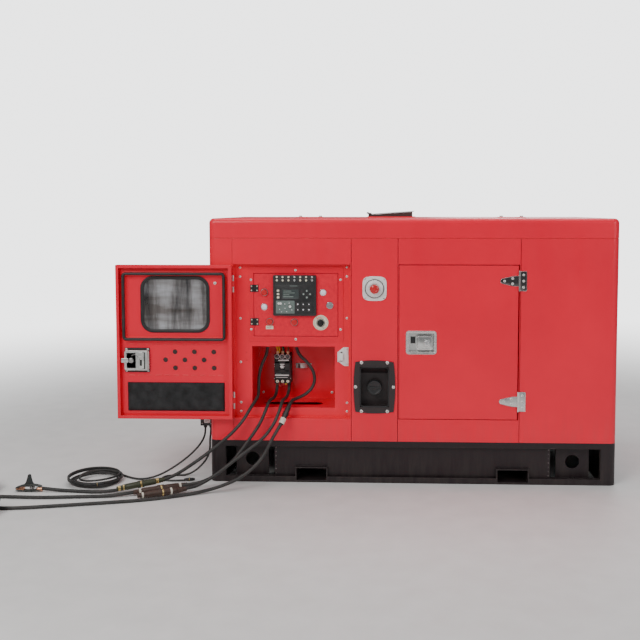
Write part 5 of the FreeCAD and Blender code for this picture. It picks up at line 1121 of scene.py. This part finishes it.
# ---- control door --------------------------------------------------------------------------------
# Its inner face looks at the viewer: the door rests wide open.
def door_rubber():
    """Window seal and bulb gasket."""
    seals = sorted(islands("door_seals"), key=lambda s: s[1].x - s[0].x)
    g = Group("door_rubber")
    lo, hi, mid = seals[0]
    outline = rounded(lo.x + 8, hi.x - 8, lo.z + 8, hi.z - 8, 50, 12)
    y0, y1 = lo.y, hi.y
    # inner lip, rolled over the edge of the sheet, with a filler bead in its groove
    g.band(outline, [(7.6, y0 + 5), (7.2, y0 + 2), (5, y0 + 0.3), (2, y0), (0.6, y0 + 1.2), (-0.6, y0 + 1.2),
                     (-2, y0), (-5, y0 + 0.3),
                     (-7.4, y0 + 2), (-8, y0 + 5), (-8, y1 - 1.5), (-6, y1), (5, y1), (7.6, y1 - 1.5)], "rubber")
    g.band(outline, [(1.1, y0 + 1.4), (0.6, y0 + 0.6), (-0.6, y0 + 0.6), (-1.1, y0 + 1.4), (0, y0 + 2)], "matt")
    lo, hi, mid = seals[1]
    y0, y1 = lo.y, hi.y
    bulb = rounded(lo.x + 7, hi.x - 7, lo.z + 7, hi.z - 7, 13, 8)
    ring = [(6.6 * math.cos(a), y0 + 6.6 - 6.6 * math.sin(a))
            for a in [math.radians(d) for d in range(-20, 201, 20)]]
    g.band(bulb, [(6.0, y1)] + ring + [(-6.0, y1)], "rubber")
    for x, z in ((hi.x - 7, mid.z + 18), (lo.x + 7, mid.z - 60)):
        g.block(x - 7.2, x + 7.2, y0 - 0.0, y1, z - 1.0, z + 1.0, "matt", 0.4)
    g.done("control_door", "door_seals")


def window_pane():
    """The open door's glass."""
    lo, hi, _ = islands("window_glass")[0]
    g = Group("window_pane")
    g.slab(rounded(lo.x, hi.x, lo.z, hi.z, 46, 12), lo.y, hi.y, "pane", 0.5)
    g.done("control_door", "window_glass")


def foam_pad():
    """A pad that swells from its rim and is a little uneven."""
    lo, hi, _ = islands("door_foam")[0]
    part = bmesh.new()
    nx, nz = 56, 18
    rows = []
    for j in range(nz + 1):
        row = []
        for i in range(nx + 1):
            u, v = i / nx, j / nz
            rim = min(u * (hi.x - lo.x), (1 - u) * (hi.x - lo.x), v * (hi.z - lo.z), (1 - v) * (hi.z - lo.z))
            swell = 1 - math.exp(-rim / 5.0)
            dent = 0.5 * math.sin(9 * u + 3 * v) + 0.4 * math.sin(21 * v - 4 * u)
            y = hi.y - 3 - (hi.y - lo.y - 4.5) * swell - dent * swell
            row.append(part.verts.new((lo.x + u * (hi.x - lo.x), y, lo.z + v * (hi.z - lo.z))))
        rows.append(row)
    for j in range(nz):
        for i in range(nx):
            part.faces.new((rows[j][i], rows[j][i + 1], rows[j + 1][i + 1], rows[j + 1][i]))
    edge = [e for e in part.edges if len(e.link_faces) == 1]
    more = bmesh.ops.extrude_edge_only(part, edges=edge)["geom"]
    for v in more:
        if isinstance(v, bmesh.types.BMVert):
            v.co.y = hi.y
    bmesh.ops.recalc_face_normals(part, faces=part.faces)
    g = Group("foam_pad")
    g.add(part, "foam")
    pad = g.done("control_door", "door_foam", 60)


def door_vents():
    """Dark gauze in the vent holes, with their rims, and the pale screw by the seal."""
    sheet = islands("door_foam")[0][1].y
    g = Group("door_vents")
    for v, row in ((307.0, (268.0, 179.0, 90.0)), (270.0, (312.0, 223.0, 135.0)), (233.0, (267.0, 178.0, 89.0))):
        for u in row:
            x, z = DOOR_HINGE_X - u, DOOR_LOW_Z + v
            g.slab(disc(x, z, 11.6, 32), sheet + 1.2, sheet + 1.8, "gauze", 0)
            g.band(disc(x, z, 11.5, 32), [(0.9, sheet + 0.1), (0.5, sheet - 0.5), (-0.4, sheet - 0.2),
                                          (-0.5, sheet + 1.2), (0.3, sheet + 1.2)], "red")
            for k in (-6, -2, 2, 6):
                half = math.sqrt(11.2 ** 2 - k * k)
                g.block(x - half, x + half, sheet + 0.9, sheet + 1.3, z + k - 0.4, z + k + 0.4, "slot", 0.1, 1)
    x, z = DOOR_HINGE_X - 81, DOOR_LOW_Z + 622
    g.screw(x, sheet, z, 7.2, 4.3, "white_screw")
    g.done("control_door")


def door_latch_works():
    """Latch housing: gasket, open tray and works inside, rolled rim and dish outside."""
    sheet = islands("door_foam")[0][1].y
    lo, hi, mid = islands("door_latch")[0]
    cx = DOOR_HINGE_X - 441.5
    cz = mid.z
    g = Group("latch_works")
    x0, x1, z0, z1 = cx - 57.5, cx + 57.5, lo.z, hi.z
    # gasket and folded walls stand round the tray, whose floor the works are bolted to
    for a, b, c, d in ((x0, x1, cz + 42.5, z1), (x0, x1, z0, cz - 42.5), (x0, x0 + 1.6, cz - 43, cz + 43),
                       (x1 - 1.6, x1, cz - 43, cz + 43)):
        g.block(a, b, sheet - 3, sheet, c, d, "matt", 0.8)
    floor_y = sheet - 15.6
    for a, b, c, d in ((x0 + 6, x1 - 6, cz + 42.5, cz + 46), (x0 + 6, x1 - 6, cz - 46, cz - 42.5)):
        g.block(a, b, floor_y - 3, sheet - 1, c, d, "galv", 1.0)
    g.slab(rounded(cx - 52, cx + 52, cz - 46, cz + 46, 5), lo.y + 4, floor_y, "galv", 1.6, 3)
    g.slab(rounded(x0 + 12, x0 + 56, z0 + 20, z1 - 20, 4), lo.y + 4, lo.y + 8, "stainless", 1.0, 3)
    g.block(lo.x + 0.5, x0 + 20, lo.y + 1.5, lo.y + 7, cz - 10, cz + 10, "zinc", 1.5, 3)
    g.stud(x0 + 33, lo.y + 4.5, cz, [(0, 12), (1.6, 12), (2.4, 10.4), (2.5, 7), (3.2, 6.8), (3.9, 5.6), (4, 0)],
           "steel", 28)
    for a in (35, 155, 275):
        r = math.radians(a)
        g.stud(x0 + 33 + 9 * math.cos(r), lo.y + 2.5, cz + 9 * math.sin(r), [(0, 1.8), (0.8, 1.6), (0.9, 0)],
               "matt", 12)
    g.block(x1 - 46, x1 - 22, lo.y + 3, lo.y + 8, z0 + 19, z1 - 19, "zinc", 1.2, 3)
    g.block(x1 - 42, x1 - 31, lo.y + 2.4, lo.y + 5, cz - 24, cz + 6, "matt", 0.8)
    g.block(x1 - 30, x1 - 17, lo.y + 3.2, lo.y + 8, z0 + 17, z1 - 17, "matt", 1.0)
    g.tube([(x0 + 36, lo.y + 4, cz + 22), (x0 + 54, lo.y + 2.6, cz + 28), (x0 + 66, lo.y + 2.6, cz + 16),
            (x1 - 26, lo.y + 3.4, cz + 18)], 1.4, "steel", 8)
    for dx in (x0 + 8, x1 - 8):
        for dz in (z0 + 6.5, z1 - 6.5):
            g.screw(dx, sheet - 3, dz, 5.0, 2.8, "white_screw")
    # the outer side, towards the canopy while the door is open: rolled rim and sunken tray
    out = DOOR_OUTER_Y
    g.band(rounded(cx - 70, cx + 70, cz - 54, cz + 54, 14, 10), dish_rim(out, 1), "stainless")
    g.slab(rounded(cx - 56.5, cx + 56.5, cz - 40, cz + 40, 8), out - 18, out - 16.6, "stainless", 0)
    g.turned((cx - 40, out - 3.5, cz - 39.5), (cx - 40, out - 3.5, cz + 39.5), [(0, 2), (79, 2)], "steel", 16)
    g.done("control_door", "door_latch")
    finish([("stainless", "door_paddle")])


# ---- service door and centre panel ---------------------------------------------------------------
def dish_rim(y, out, step=()):
    """Rolled rim and sunken wall of a latch dish on a sheet at y; out is the way that it faces along Y."""
    rim = [(0, 0), (-0.2, 1.6), (-1.4, 2.7), (-3.5, 3), (-6.5, 2.6), (-8.5, 1.4), *step, (-12, 1.8), (-13.4, 1.4),
           (-14, 0), (-14.4, -16.6), (-15.4, -17.2), (-14, -18), (-13, -17), (-13, 0)]
    return [(u, y + out * v) for u, v in rim]


def strap_hinges():
    """Tapered straps with dome screws and bright rims; the upper one is a darker, glossier copy of the stainless:
    the dark is painted shade.
    """
    g = Group("service_straps")
    for lo, hi, mid in islands("service_hinges"):
        size = hi - lo
        if size.x < 12:
            g.screw(mid.x, hi.y, mid.z, size.x / 2 + 1.4, size.y + 0.6, "white_screw")
            continue
        # the upper strap takes the darker copy of the stainless: painted shade
        mat = "glossy_stainless_painted_shade" if mid.z > 700 else "stainless"
        x1 = hi.x - 8
        tip = 11.0
        shape = [(x1, lo.z + 2), (x1, hi.z - 2), (x1 - 22, hi.z - 3)]
        for d in range(100, 261, 16):
            a = math.radians(d)
            shape.append((lo.x + tip + tip * math.cos(a), mid.z + tip * math.sin(a)))
        shape.append((x1 - 22, lo.z + 3))
        g.slab(shape[::-1], hi.y - 3, hi.y, mat, 0.9, 3)
        hinge_barrel(g, hi.x - 4.5, lo.y + 4.6, lo.z + 4, hi.z - 4, 4.5, "bright", 3)
        g.band(shape[::-1], [(0.3, hi.y - 2.2), (0.1, hi.y - 3.5), (-1.1, hi.y - 3.6), (-1.5, hi.y - 2.8)],
               "bright")
    g.done("service_door", "service_hinges")


def paddle_lock():
    """Dished stainless latch: rolled rim, sunken tray, lifting paddle, key barrel and a black patch painted for the
    shade of the finger hollow.
    """
    lo, hi, mid = islands("service_latch")[0]
    x0, x1, z0, z1 = lo.x, hi.x, lo.z, hi.z
    y = lo.y
    g = Group("latch_dish")
    g.band(rounded(x0, x1, z0, z1, 14, 10), dish_rim(y + 3, -1, [(-10.5, 1.1)]), "stainless")
    g.slab(rounded(x0 + 13.5, x1 - 13.5, z0 + 14, z1 - 14, 8), y + 19.6, y + 21, "stainless", 0)
    # black patch on the tray's floor: painted shade where the finger hollow is
    g.block(x0 + 22, x0 + 46, y + 18.6, y + 20, mid.z - 6, mid.z + 26, "black", 0.5)
    g.block(x0 + 44, x1 - 28, y + 18, y + 27, mid.z - 28, mid.z + 28, "galv", 1.5, 3)
    g.turned((mid.x + 40, y + 6.5, z0 + 15), (mid.x + 40, y + 6.5, z1 - 15), [(0, 2), (z1 - z0 - 30, 2)], "steel",
             16)
    g.done("service_door", "service_latch")

    lo, hi, mid2 = islands("service_paddle")[0]
    g = Group("latch_paddle")
    py = lo.y + 3.4
    g.slab(rounded(lo.x, hi.x, lo.z, hi.z, 7, 8), py, py + 2.2, "bright", 0.9, 3)
    g.band(rounded(lo.x + 5, hi.x - 5, lo.z + 5, hi.z - 5, 5, 8),
           [(1.2, py + 0.3), (0.6, py - 0.7), (-0.6, py - 0.7), (-1.4, py + 0.3)], "stainless")
    g.block(lo.x + 1, lo.x + 4, py, hi.y - 2, lo.z + 8, hi.z - 8, "stainless", 1.0, 3)
    kx = lo.x + 46
    g.block(kx - 15, kx + 13, py - 0.6, py + 0.8, mid2.z - 20, mid2.z + 14, "stainless", 1.2, 3)
    g.stud(kx, py, mid2.z - 2, [(0, 12.4), (1.0, 12.4), (1.6, 11.6), (2.8, 11), (3.2, 10), (3.3, 7.5), (2.6, 7),
                                (2.6, 0)], "chrome", 40)
    # black keyway on the barrel's face: painted shade of the key's slot
    g.block(kx - 0.9, kx + 0.9, py - 2.75, py - 2.2, mid2.z - 7, mid2.z + 3, "black", 0.1, 1)
    g.turned((hi.x - 10, hi.y - 4.9, lo.z + 0.2), (hi.x - 10, hi.y - 4.9, hi.z - 0.2),
             [(0, 3.6), (0.6, 4.2), (hi.z - lo.z - 1, 4.2), (hi.z - lo.z - 0.4, 3.6)], "stainless", 28)
    g.done("service_paddle", "service_paddle")


def stop_button():
    """Emergency stop: bulged pale plate, dark ring, domed surround and a red mushroom."""
    rows = islands("estop_bezel")
    lo, hi, mid = max(rows, key=lambda s: s[1].x - s[0].x)      # the plate
    cx, cz = mid.x, mid.z
    hw, hh = (hi.x - lo.x) / 2, (hi.z - lo.z) / 2
    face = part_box("centre_panel")[0].y * 1000
    outline = []
    corners = 96
    for i in range(corners):
        a = 2 * math.pi * i / corners
        c, s = math.cos(a), math.sin(a)
        # a rounded square whose sides bulge a little
        k = (abs(c) ** 5.2 + abs(s) ** 4.4) ** (-1 / 4.8)
        outline.append((cx + hw * min(1, k * abs(c)) * (1 if c > 0 else -1) * (1 - 0.035 * s * s),
                        cz + hh * min(1, k * abs(s)) * (1 if s > 0 else -1) * (1 - 0.045 * c * c)))
    g = Group("stop_surround")
    g.slab(outline, face - 4, face, "white", 1.6, 4)
    g.band(disc(cx, cz, 43, 72), [(1.6, face - 3.6), (1.2, face - 6.5), (0, face - 7.2), (-1.2, face - 6.5),
                                  (-2.4, face - 3.6)], "steel")
    g.stud(cx, face - 3.5, cz, [(0, 40.2), (1.5, 40), (4.5, 36), (6.4, 31), (7.2, 27), (7.6, 24), (6.8, 22.4),
                                (2, 22)], "white", 64)
    g.band(disc(cx, cz, 39.8, 72), [(0.9, face - 3.4), (0.3, face - 5.2), (-0.9, face - 5.6), (-1.2, face - 3.4)],
           "black")
    for lo2, hi2, mid2 in rows:
        if hi2.x - lo2.x < 12:
            g.screw(mid2.x, face - 4, mid2.z, 4.4, 2.2, "zinc")
    g.done("welder", "estop_bezel")
    lo, hi, mid = islands("estop_button")[0]
    r = (hi.x - lo.x) / 2
    b = Group("stop_mushroom")
    top = lo.y
    b.stud_in(cx, top, cz, [(0, 0), (0.2, r * 0.3), (1.0, r * 0.6), (2.8, r * 0.84), (5.6, r * 0.97), (8.6, r),
                            (13, r * 0.98),
                            (15.5, r * 0.86), (16.4, r * 0.6), (20, 11.5), (24, 10.8), (40, 10.8), (40, 7.8),
                            (73, 7.6)], "red_cap", 56)
    b.band(disc(cx, cz, r * 0.55, 48), [(0.7, top + 0.9), (0, top + 0.35), (-0.7, top + 0.7)], "red_cap")
    b.done("estop_button", "estop_button")


def filler():
    """Moulded filler hollow's bolts and the ribbed cap; the hollow itself is the CAD node."""
    g = Group("filler_bolts")
    rows = islands("filler_recess")
    for lo, hi, mid in rows:
        if hi.x - lo.x < 15:
            g.screw(mid.x, hi.y + 0.2, mid.z, 6.3, 3.9, "white_screw")
            g.stud(mid.x, hi.y + 0.3, mid.z, [(0, 7.6), (0.9, 7.6), (1.1, 7)], "zinc", 28)
    tray = max(rows, key=lambda s: s[1].x - s[0].x)
    lo, hi, mid = tray
    g.band(rounded(lo.x + 31, hi.x - 31, lo.z + 32, hi.z - 33, 12, 8),
           [(2.5, lo.y + 0.4), (1.5, lo.y - 0.9), (-1.2, lo.y - 0.9), (-2.5, lo.y + 0.4)], "black")
    g.done("welder")
    lo, hi, mid = islands("filler_cap")[0]
    c = Group("fuel_cap")
    r = (hi.x - lo.x) / 2
    y0 = lo.y
    c.turned((mid.x, hi.y, mid.z), (mid.x, y0, mid.z),
             [(0, r * 0.72), (hi.y - y0 - 31, r * 0.72), (hi.y - y0 - 30, r - 1.5), (hi.y - y0 - 26, r),
              (hi.y - y0 - 8, r), (hi.y - y0 - 4, r - 2), (hi.y - y0 - 3.4, r - 7), (hi.y - y0 - 4.6, r - 9),
              (hi.y - y0 - 4.2, 9), (hi.y - y0 - 3.4, 0)], "black", 64)
    for x, z in disc(mid.x, mid.z, r - 0.6, 12):
        c.stud_in(x, y0 + 8, z, [(0, 1.0), (2, 1.9), (16, 1.9), (18, 1.0)], "black", 12)
    c.block(mid.x - 26, mid.x + 26, y0 + 0.4, y0 + 6, mid.z - 5, mid.z + 5, "black", 2.4, 4)
    c.done("filler_cap", "filler_cap")


# ---- roof, loose tools and the rest -----------------------------------------------------------------
def exhaust():
    """Bolts round the outlet, and scale on it and on its cap."""
    g = Group("exhaust_dressing")
    lo, hi = box_mm("exhaust_outlet")
    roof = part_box("roof")[1].z * 1000
    cx = (lo.x + hi.x) / 2 + 4
    cy = (lo.y + hi.y) / 2
    for a in range(0, 360, 60):
        x, y = cx + 92 * math.cos(math.radians(a)), cy + 66 * math.sin(math.radians(a))
        if lo.x + 8 < x < hi.x - 8 and lo.y + 8 < y < hi.y - 8:
            g.turned((x, y, roof - 0.5), (x, y, roof + 8),
                     [(0, 6.5), (1.2, 6.5), (1.3, 5), (4.6, 5), (5, 4.4), (5.1, 0)], "steel", 6)
    g.done("welder")
    rust = paint("exhaust_scale", (0.055, 0.042, 0.038), 0.62, (0.16, 0.09, 0.06), (0.2, 0.11, 0.07), 1.6, 0.4,
                 0.001, 0.0)
    finish([(rust, "exhaust_outlet rain_cap")])


def work_clamp():
    """Sprung clamp: ribbed jaws, copper teeth, a pin with its spring, an upright lever and a lead socket."""
    lo, hi = box_mm("work_clamp")
    y = (lo.y + hi.y) / 2
    g = Group("clamp_tool")
    x0, x1 = lo.x, hi.x
    n = 14
    upper, lower = [], []
    for i in range(n + 1):
        t = i / n
        x = x1 - 8 - t * (x1 - x0 - 10)
        upper.append((x, y, 17 + 11 * math.sin(math.pi * t) ** 0.8 + 7 * (1 - t)))
        lower.append((x, y, 9 - 3.5 * math.sin(math.pi * t)))
    for dy in (-9, -4.5, 0, 4.5, 9):
        g.tube([(a, b + dy, c) for a, b, c in upper[::2]], 2.7, "clamp", 8, 4)
        g.tube([(a, b + dy, max(c, 4.0)) for a, b, c in lower[::2]], 2.7, "clamp", 8, 4)
    for t in (0, 1, 2, 3, 4):
        x = x0 + 6 + t * 7
        g.block(x, x + 4, y - 12, y + 12, 12 - 0.6 * t, 17 + 0.8 * t, "copper", 0.8)
    g.stud_in(x1 - 48, y - 13, 21, [(0, 4), (0.8, 5.4), (25.2, 5.4), (26, 4)], "steel", 6)
    g.tube([(x1 - 48 + 9 * math.cos(k * 0.8), y - 10 + k * 0.9, 21 + 9 * math.sin(k * 0.8)) for k in range(23)],
           1.3, "steel", 8, 4)
    # upright lever: a tapered fin with rounded edges
    fin = bmesh.new()
    shape = [(-100, 22), (-86, 30), (-75, 44), (-69, 62), (-66, 76), (-60, 79.5), (-53, 77), (-51, 62), (-46, 44),
             (-38, 30), (-38, 22)]
    a, b = [[fin.verts.new((x1 + u * (x1 - x0) / 122, y + side, v)) for u, v in shape] for side in (-5, 5)]
    fin.faces.new(a)
    fin.faces.new(b[::-1])
    for i in range(len(shape)):
        j = (i + 1) % len(shape)
        fin.faces.new((a[j], a[i], b[i], b[j]))
    bmesh.ops.recalc_face_normals(fin, faces=fin.faces)
    bmesh.ops.bevel(fin, geom=list(fin.edges), offset=2.0, segments=3, profile=0.5, affect="EDGES")
    g.add(fin, "clamp")
    g.turned((x1 - 2, y, 13), (x1 - 30, y, 13), [(0, 8), (1, 9.5), (20, 9.5), (24, 6.5), (27, 6)], "copper", 28)
    return g.done("welder", "work_clamp")


def electrode_holder():
    """Ribbed grip, two jaws over copper, and a lever on its pin."""
    lo, hi = box_mm("electrode_holder")
    x = (lo.x + hi.x) / 2
    z = 61.2
    h = Group("holder_tool")
    grip = [(0, 9), (1.5, 11.5), (6, 12.5)]
    for i in range(8):
        grip += [(10 + i * 11, 14.4), (14 + i * 11, 14.8), (17 + i * 11, 13.4), (20 + i * 11, 14.4)]
    grip += [(104, 14.8), (112, 18.5), (118, 18.8), (124, 15.5), (130, 13)]
    h.turned((x, lo.y, z), (x, hi.y, z), grip, "holder", 40)
    h.block(x - 9, x + 9, lo.y + 128, hi.y - 22, z - 9, z + 1, "holder", 3, 4)
    h.block(x - 8, x + 8, lo.y + 126, hi.y - 2, z + 3, z + 13, "holder", 3, 4)
    h.block(x - 6, x + 6, hi.y - 40, hi.y - 6, z - 5, z + 3, "copper", 1.5, 3)
    h.block(x - 7, x + 7, lo.y + 62, lo.y + 122, z + 18, z + 23, "holder", 2, 4,
            (math.radians(-14), "X", (x, lo.y + 122, z + 14)))
    h.turned((x - 11, lo.y + 120, z + 12), (x + 11, lo.y + 120, z + 12), [(0, 3), (0.6, 4.4), (21.4, 4.4), (22, 3)],
             "steel", 20)
    return h.done("welder", "electrode_holder")


def coil_ties():
    """Two straps round each put-away coil, three wires wide. Each coil's straps are one piece."""
    half, top = 17.2, 47.4          # half the width of the coil's section and its height, with the wire's own
    inner, outer = COIL_R - half, COIL_R + half
    section = [(inner, 8), (inner, 24), (inner, top - 6), (inner + 6, top), (COIL_R, top), (outer - 6, top),
               (outer, top - 6), (outer, 24), (outer, 8), (outer - 6, 1.6), (COIL_R, 1.6), (inner + 6, 1.6),
               (inner, 8)]
    for name, centre, bearings in (("holder_coil_ties", COIL_D, (140, 235)),
                                   ("spare_coil_ties", COIL_F, (150, 255))):
        g = Group(name)
        for bearing in bearings:
            a = math.radians(bearing)
            for off in (-2.6, 0, 2.6):
                g.tube([(centre[0] + r * math.cos(a) - off * math.sin(a),
                         centre[1] + r * math.sin(a) + off * math.cos(a), z)
                        for r, z in section], 1.5, "rubber", 8, 3)
        g.done("welder")


def other_nodes():
    """Finishes of the nodes behind the panels and round the back."""
    castings = paint("engine_castings", (0.10, 0.115, 0.12), 0.55, (0.28, 0.28, 0.27), (0.12, 0.09, 0.07), 1.2, 0.5,
                     0.002, 0.0)
    windings = paint("generator_castings", (0.22, 0.23, 0.235), 0.5, (0.4, 0.4, 0.4), (0.15, 0.12, 0.1), 1.0, 0.4,
                     0.002, 0.05)
    tank = paint("tank_moulding", (0.016, 0.016, 0.017), 0.5, (0.06, 0.06, 0.06), (0.13, 0.1, 0.08), 0.3, 0.5,
                 0.002, 0.0)
    core = steel("radiator_core", (0.09, 0.09, 0.09), 0.5, (1.0, 1.0, 60.0), 0.8)
    silencer = steel("silencer_steel", (0.36, 0.33, 0.31), 0.5, (3.0, 3.0, 3.0), 0.4, 0.001, 0.7)
    moulded = paint("recess_moulding", (0.036, 0.026, 0.027), 0.40, (0.13, 0.11, 0.11), (0.12, 0.1, 0.08), 0.42,
                    0.35, 0.0015, 0.1)
    pairs = [(castings, "engine"), (windings, "generator"), (tank, "fuel_tank"), (core, "radiator"),
             (silencer, "muffler"), ("black", "fan output_socket"), ("matt", "battery"), (moulded, "filler_recess")]
    finish(pairs)


def welds_and_bolts():
    """Weld beads at the base's web ends and lug plates, the rear wall's screws and the roof's bolts."""
    g = Group("base_welds")
    x_in = BASE_HI.x * 1000 - 70
    web = BASE_LO.y * 1000 + 22
    top = BASE_HI.z * 1000
    for s in (-1, 1):
        for face, out in ((web, -1), (-web, 1)):
            for i in range(7):
                x = s * (x_in - 224 - 6)  # the web's end
                z = 36 + i * 20
                wide = 2.6 + 0.7 * math.sin(i * 2.3 + s)
                g.turned((x, face, z), (x, face + out, z),
                         [(0, wide), (0.8, wide * 0.8), (1.5, wide * 0.4), (1.7, 0)], "weld", 12)
    # seams at the foot of the lug plates, either side of the hole
    for s in (-1, 1):
        for out in (-1, 1):
            y = out * (BASE_HI.y * 1000 - 50)
            x = s * (x_in - 112 - 5)      # middle of the lug plate
            places = [(i, x - 72 + i * 144 / 28) for i in range(29)]
            for side in (-1, 1):
                g.tube([(u, y + out * 0.8, 7.2 + 0.6 * math.sin(i * 1.9))
                        for i, u in places if side * (u - x) > 19], 1.7, "weld", 6, 2)
    g.done("welder")
    g = Group("rear_and_roof_bolts")
    back = -BASE_LO.y * 1000
    roof_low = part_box("roof")[0].z * 1000
    span = BASE_HI.x * 1000
    for s in (-1, 1):
        for u in (-280, 0, 280):
            for z in (top + 110, roof_low - 110):
                g.screw(s * span * 0.47 + u, back + 2.5, z, 8.4, 4.5, "white_screw", 1)
        # a pair of bolts for each lifting place, 3 mm above the roof
        for u in (-50, 50):
            x, z = s * 500 + u, ROOF_TOP + 3
            g.turned((x, 0, z - 0.5), (x, 0, z + 9), [(0, 11), (1.6, 11), (1.7, 8), (6.2, 8), (7, 7.2), (7.1, 0)],
                     "zinc", 6)
    g.done("welder")


def side_box():
    """Dressing of the socket block on the left wall: cover plate, pale blank label and screws."""
    g = Group("side_box_dressing")
    front = -382.0                  # where its face stands
    x0, x1, z0, z1 = -983.0, -928.0, 247.0, 291.0       # its face, seen from the front
    g.slab(rounded(x0 + 2, x1 - 2, z0 + 2, z1 - 2, 4), front - 2.4, front + 1, "case", 1.0, 3)
    g.slab(rounded(x0 + 16, x1 - 10, z0 + 10, z1 - 14, 2), front - 3, front - 2, "white", 0.4)
    g.block(x0 + 20, x1 - 18, front - 3.2, front - 2.9, z0 + 21, z0 + 22.4, "slot", 0.1, 1)
    g.block(x0 + 20, x1 - 24, front - 3.2, front - 2.9, z0 + 16, z0 + 17.4, "slot", 0.1, 1)
    for dx in (x0 + 7, x1 - 7):
        for dz in (z0 + 7, z1 - 7):
            g.screw(dx, front - 2.4, dz, 2.8, 1.5, "zinc")
    g.done("welder")


camera()
lights()
floor()
mat_set()
finish([("red", 'left_post_panel centre_panel right_panel control_bay_panel service_bay_panel left_end_wall '
         'right_end_wall rear_wall roof service_door control_door'), ("base", "base_frame")])
bay_hardware()
controller()
panel_pieces()
fixed_hinges()
breaker()
door_rubber()
window_pane()
foam_pad()
door_vents()
door_latch_works()
strap_hinges()
paddle_lock()
stop_button()
filler()
exhaust()
CLAMP = work_clamp()
HOLDER = electrode_holder()
coil_ties()
other_nodes()
side_box()
welds_and_bolts()
cords()
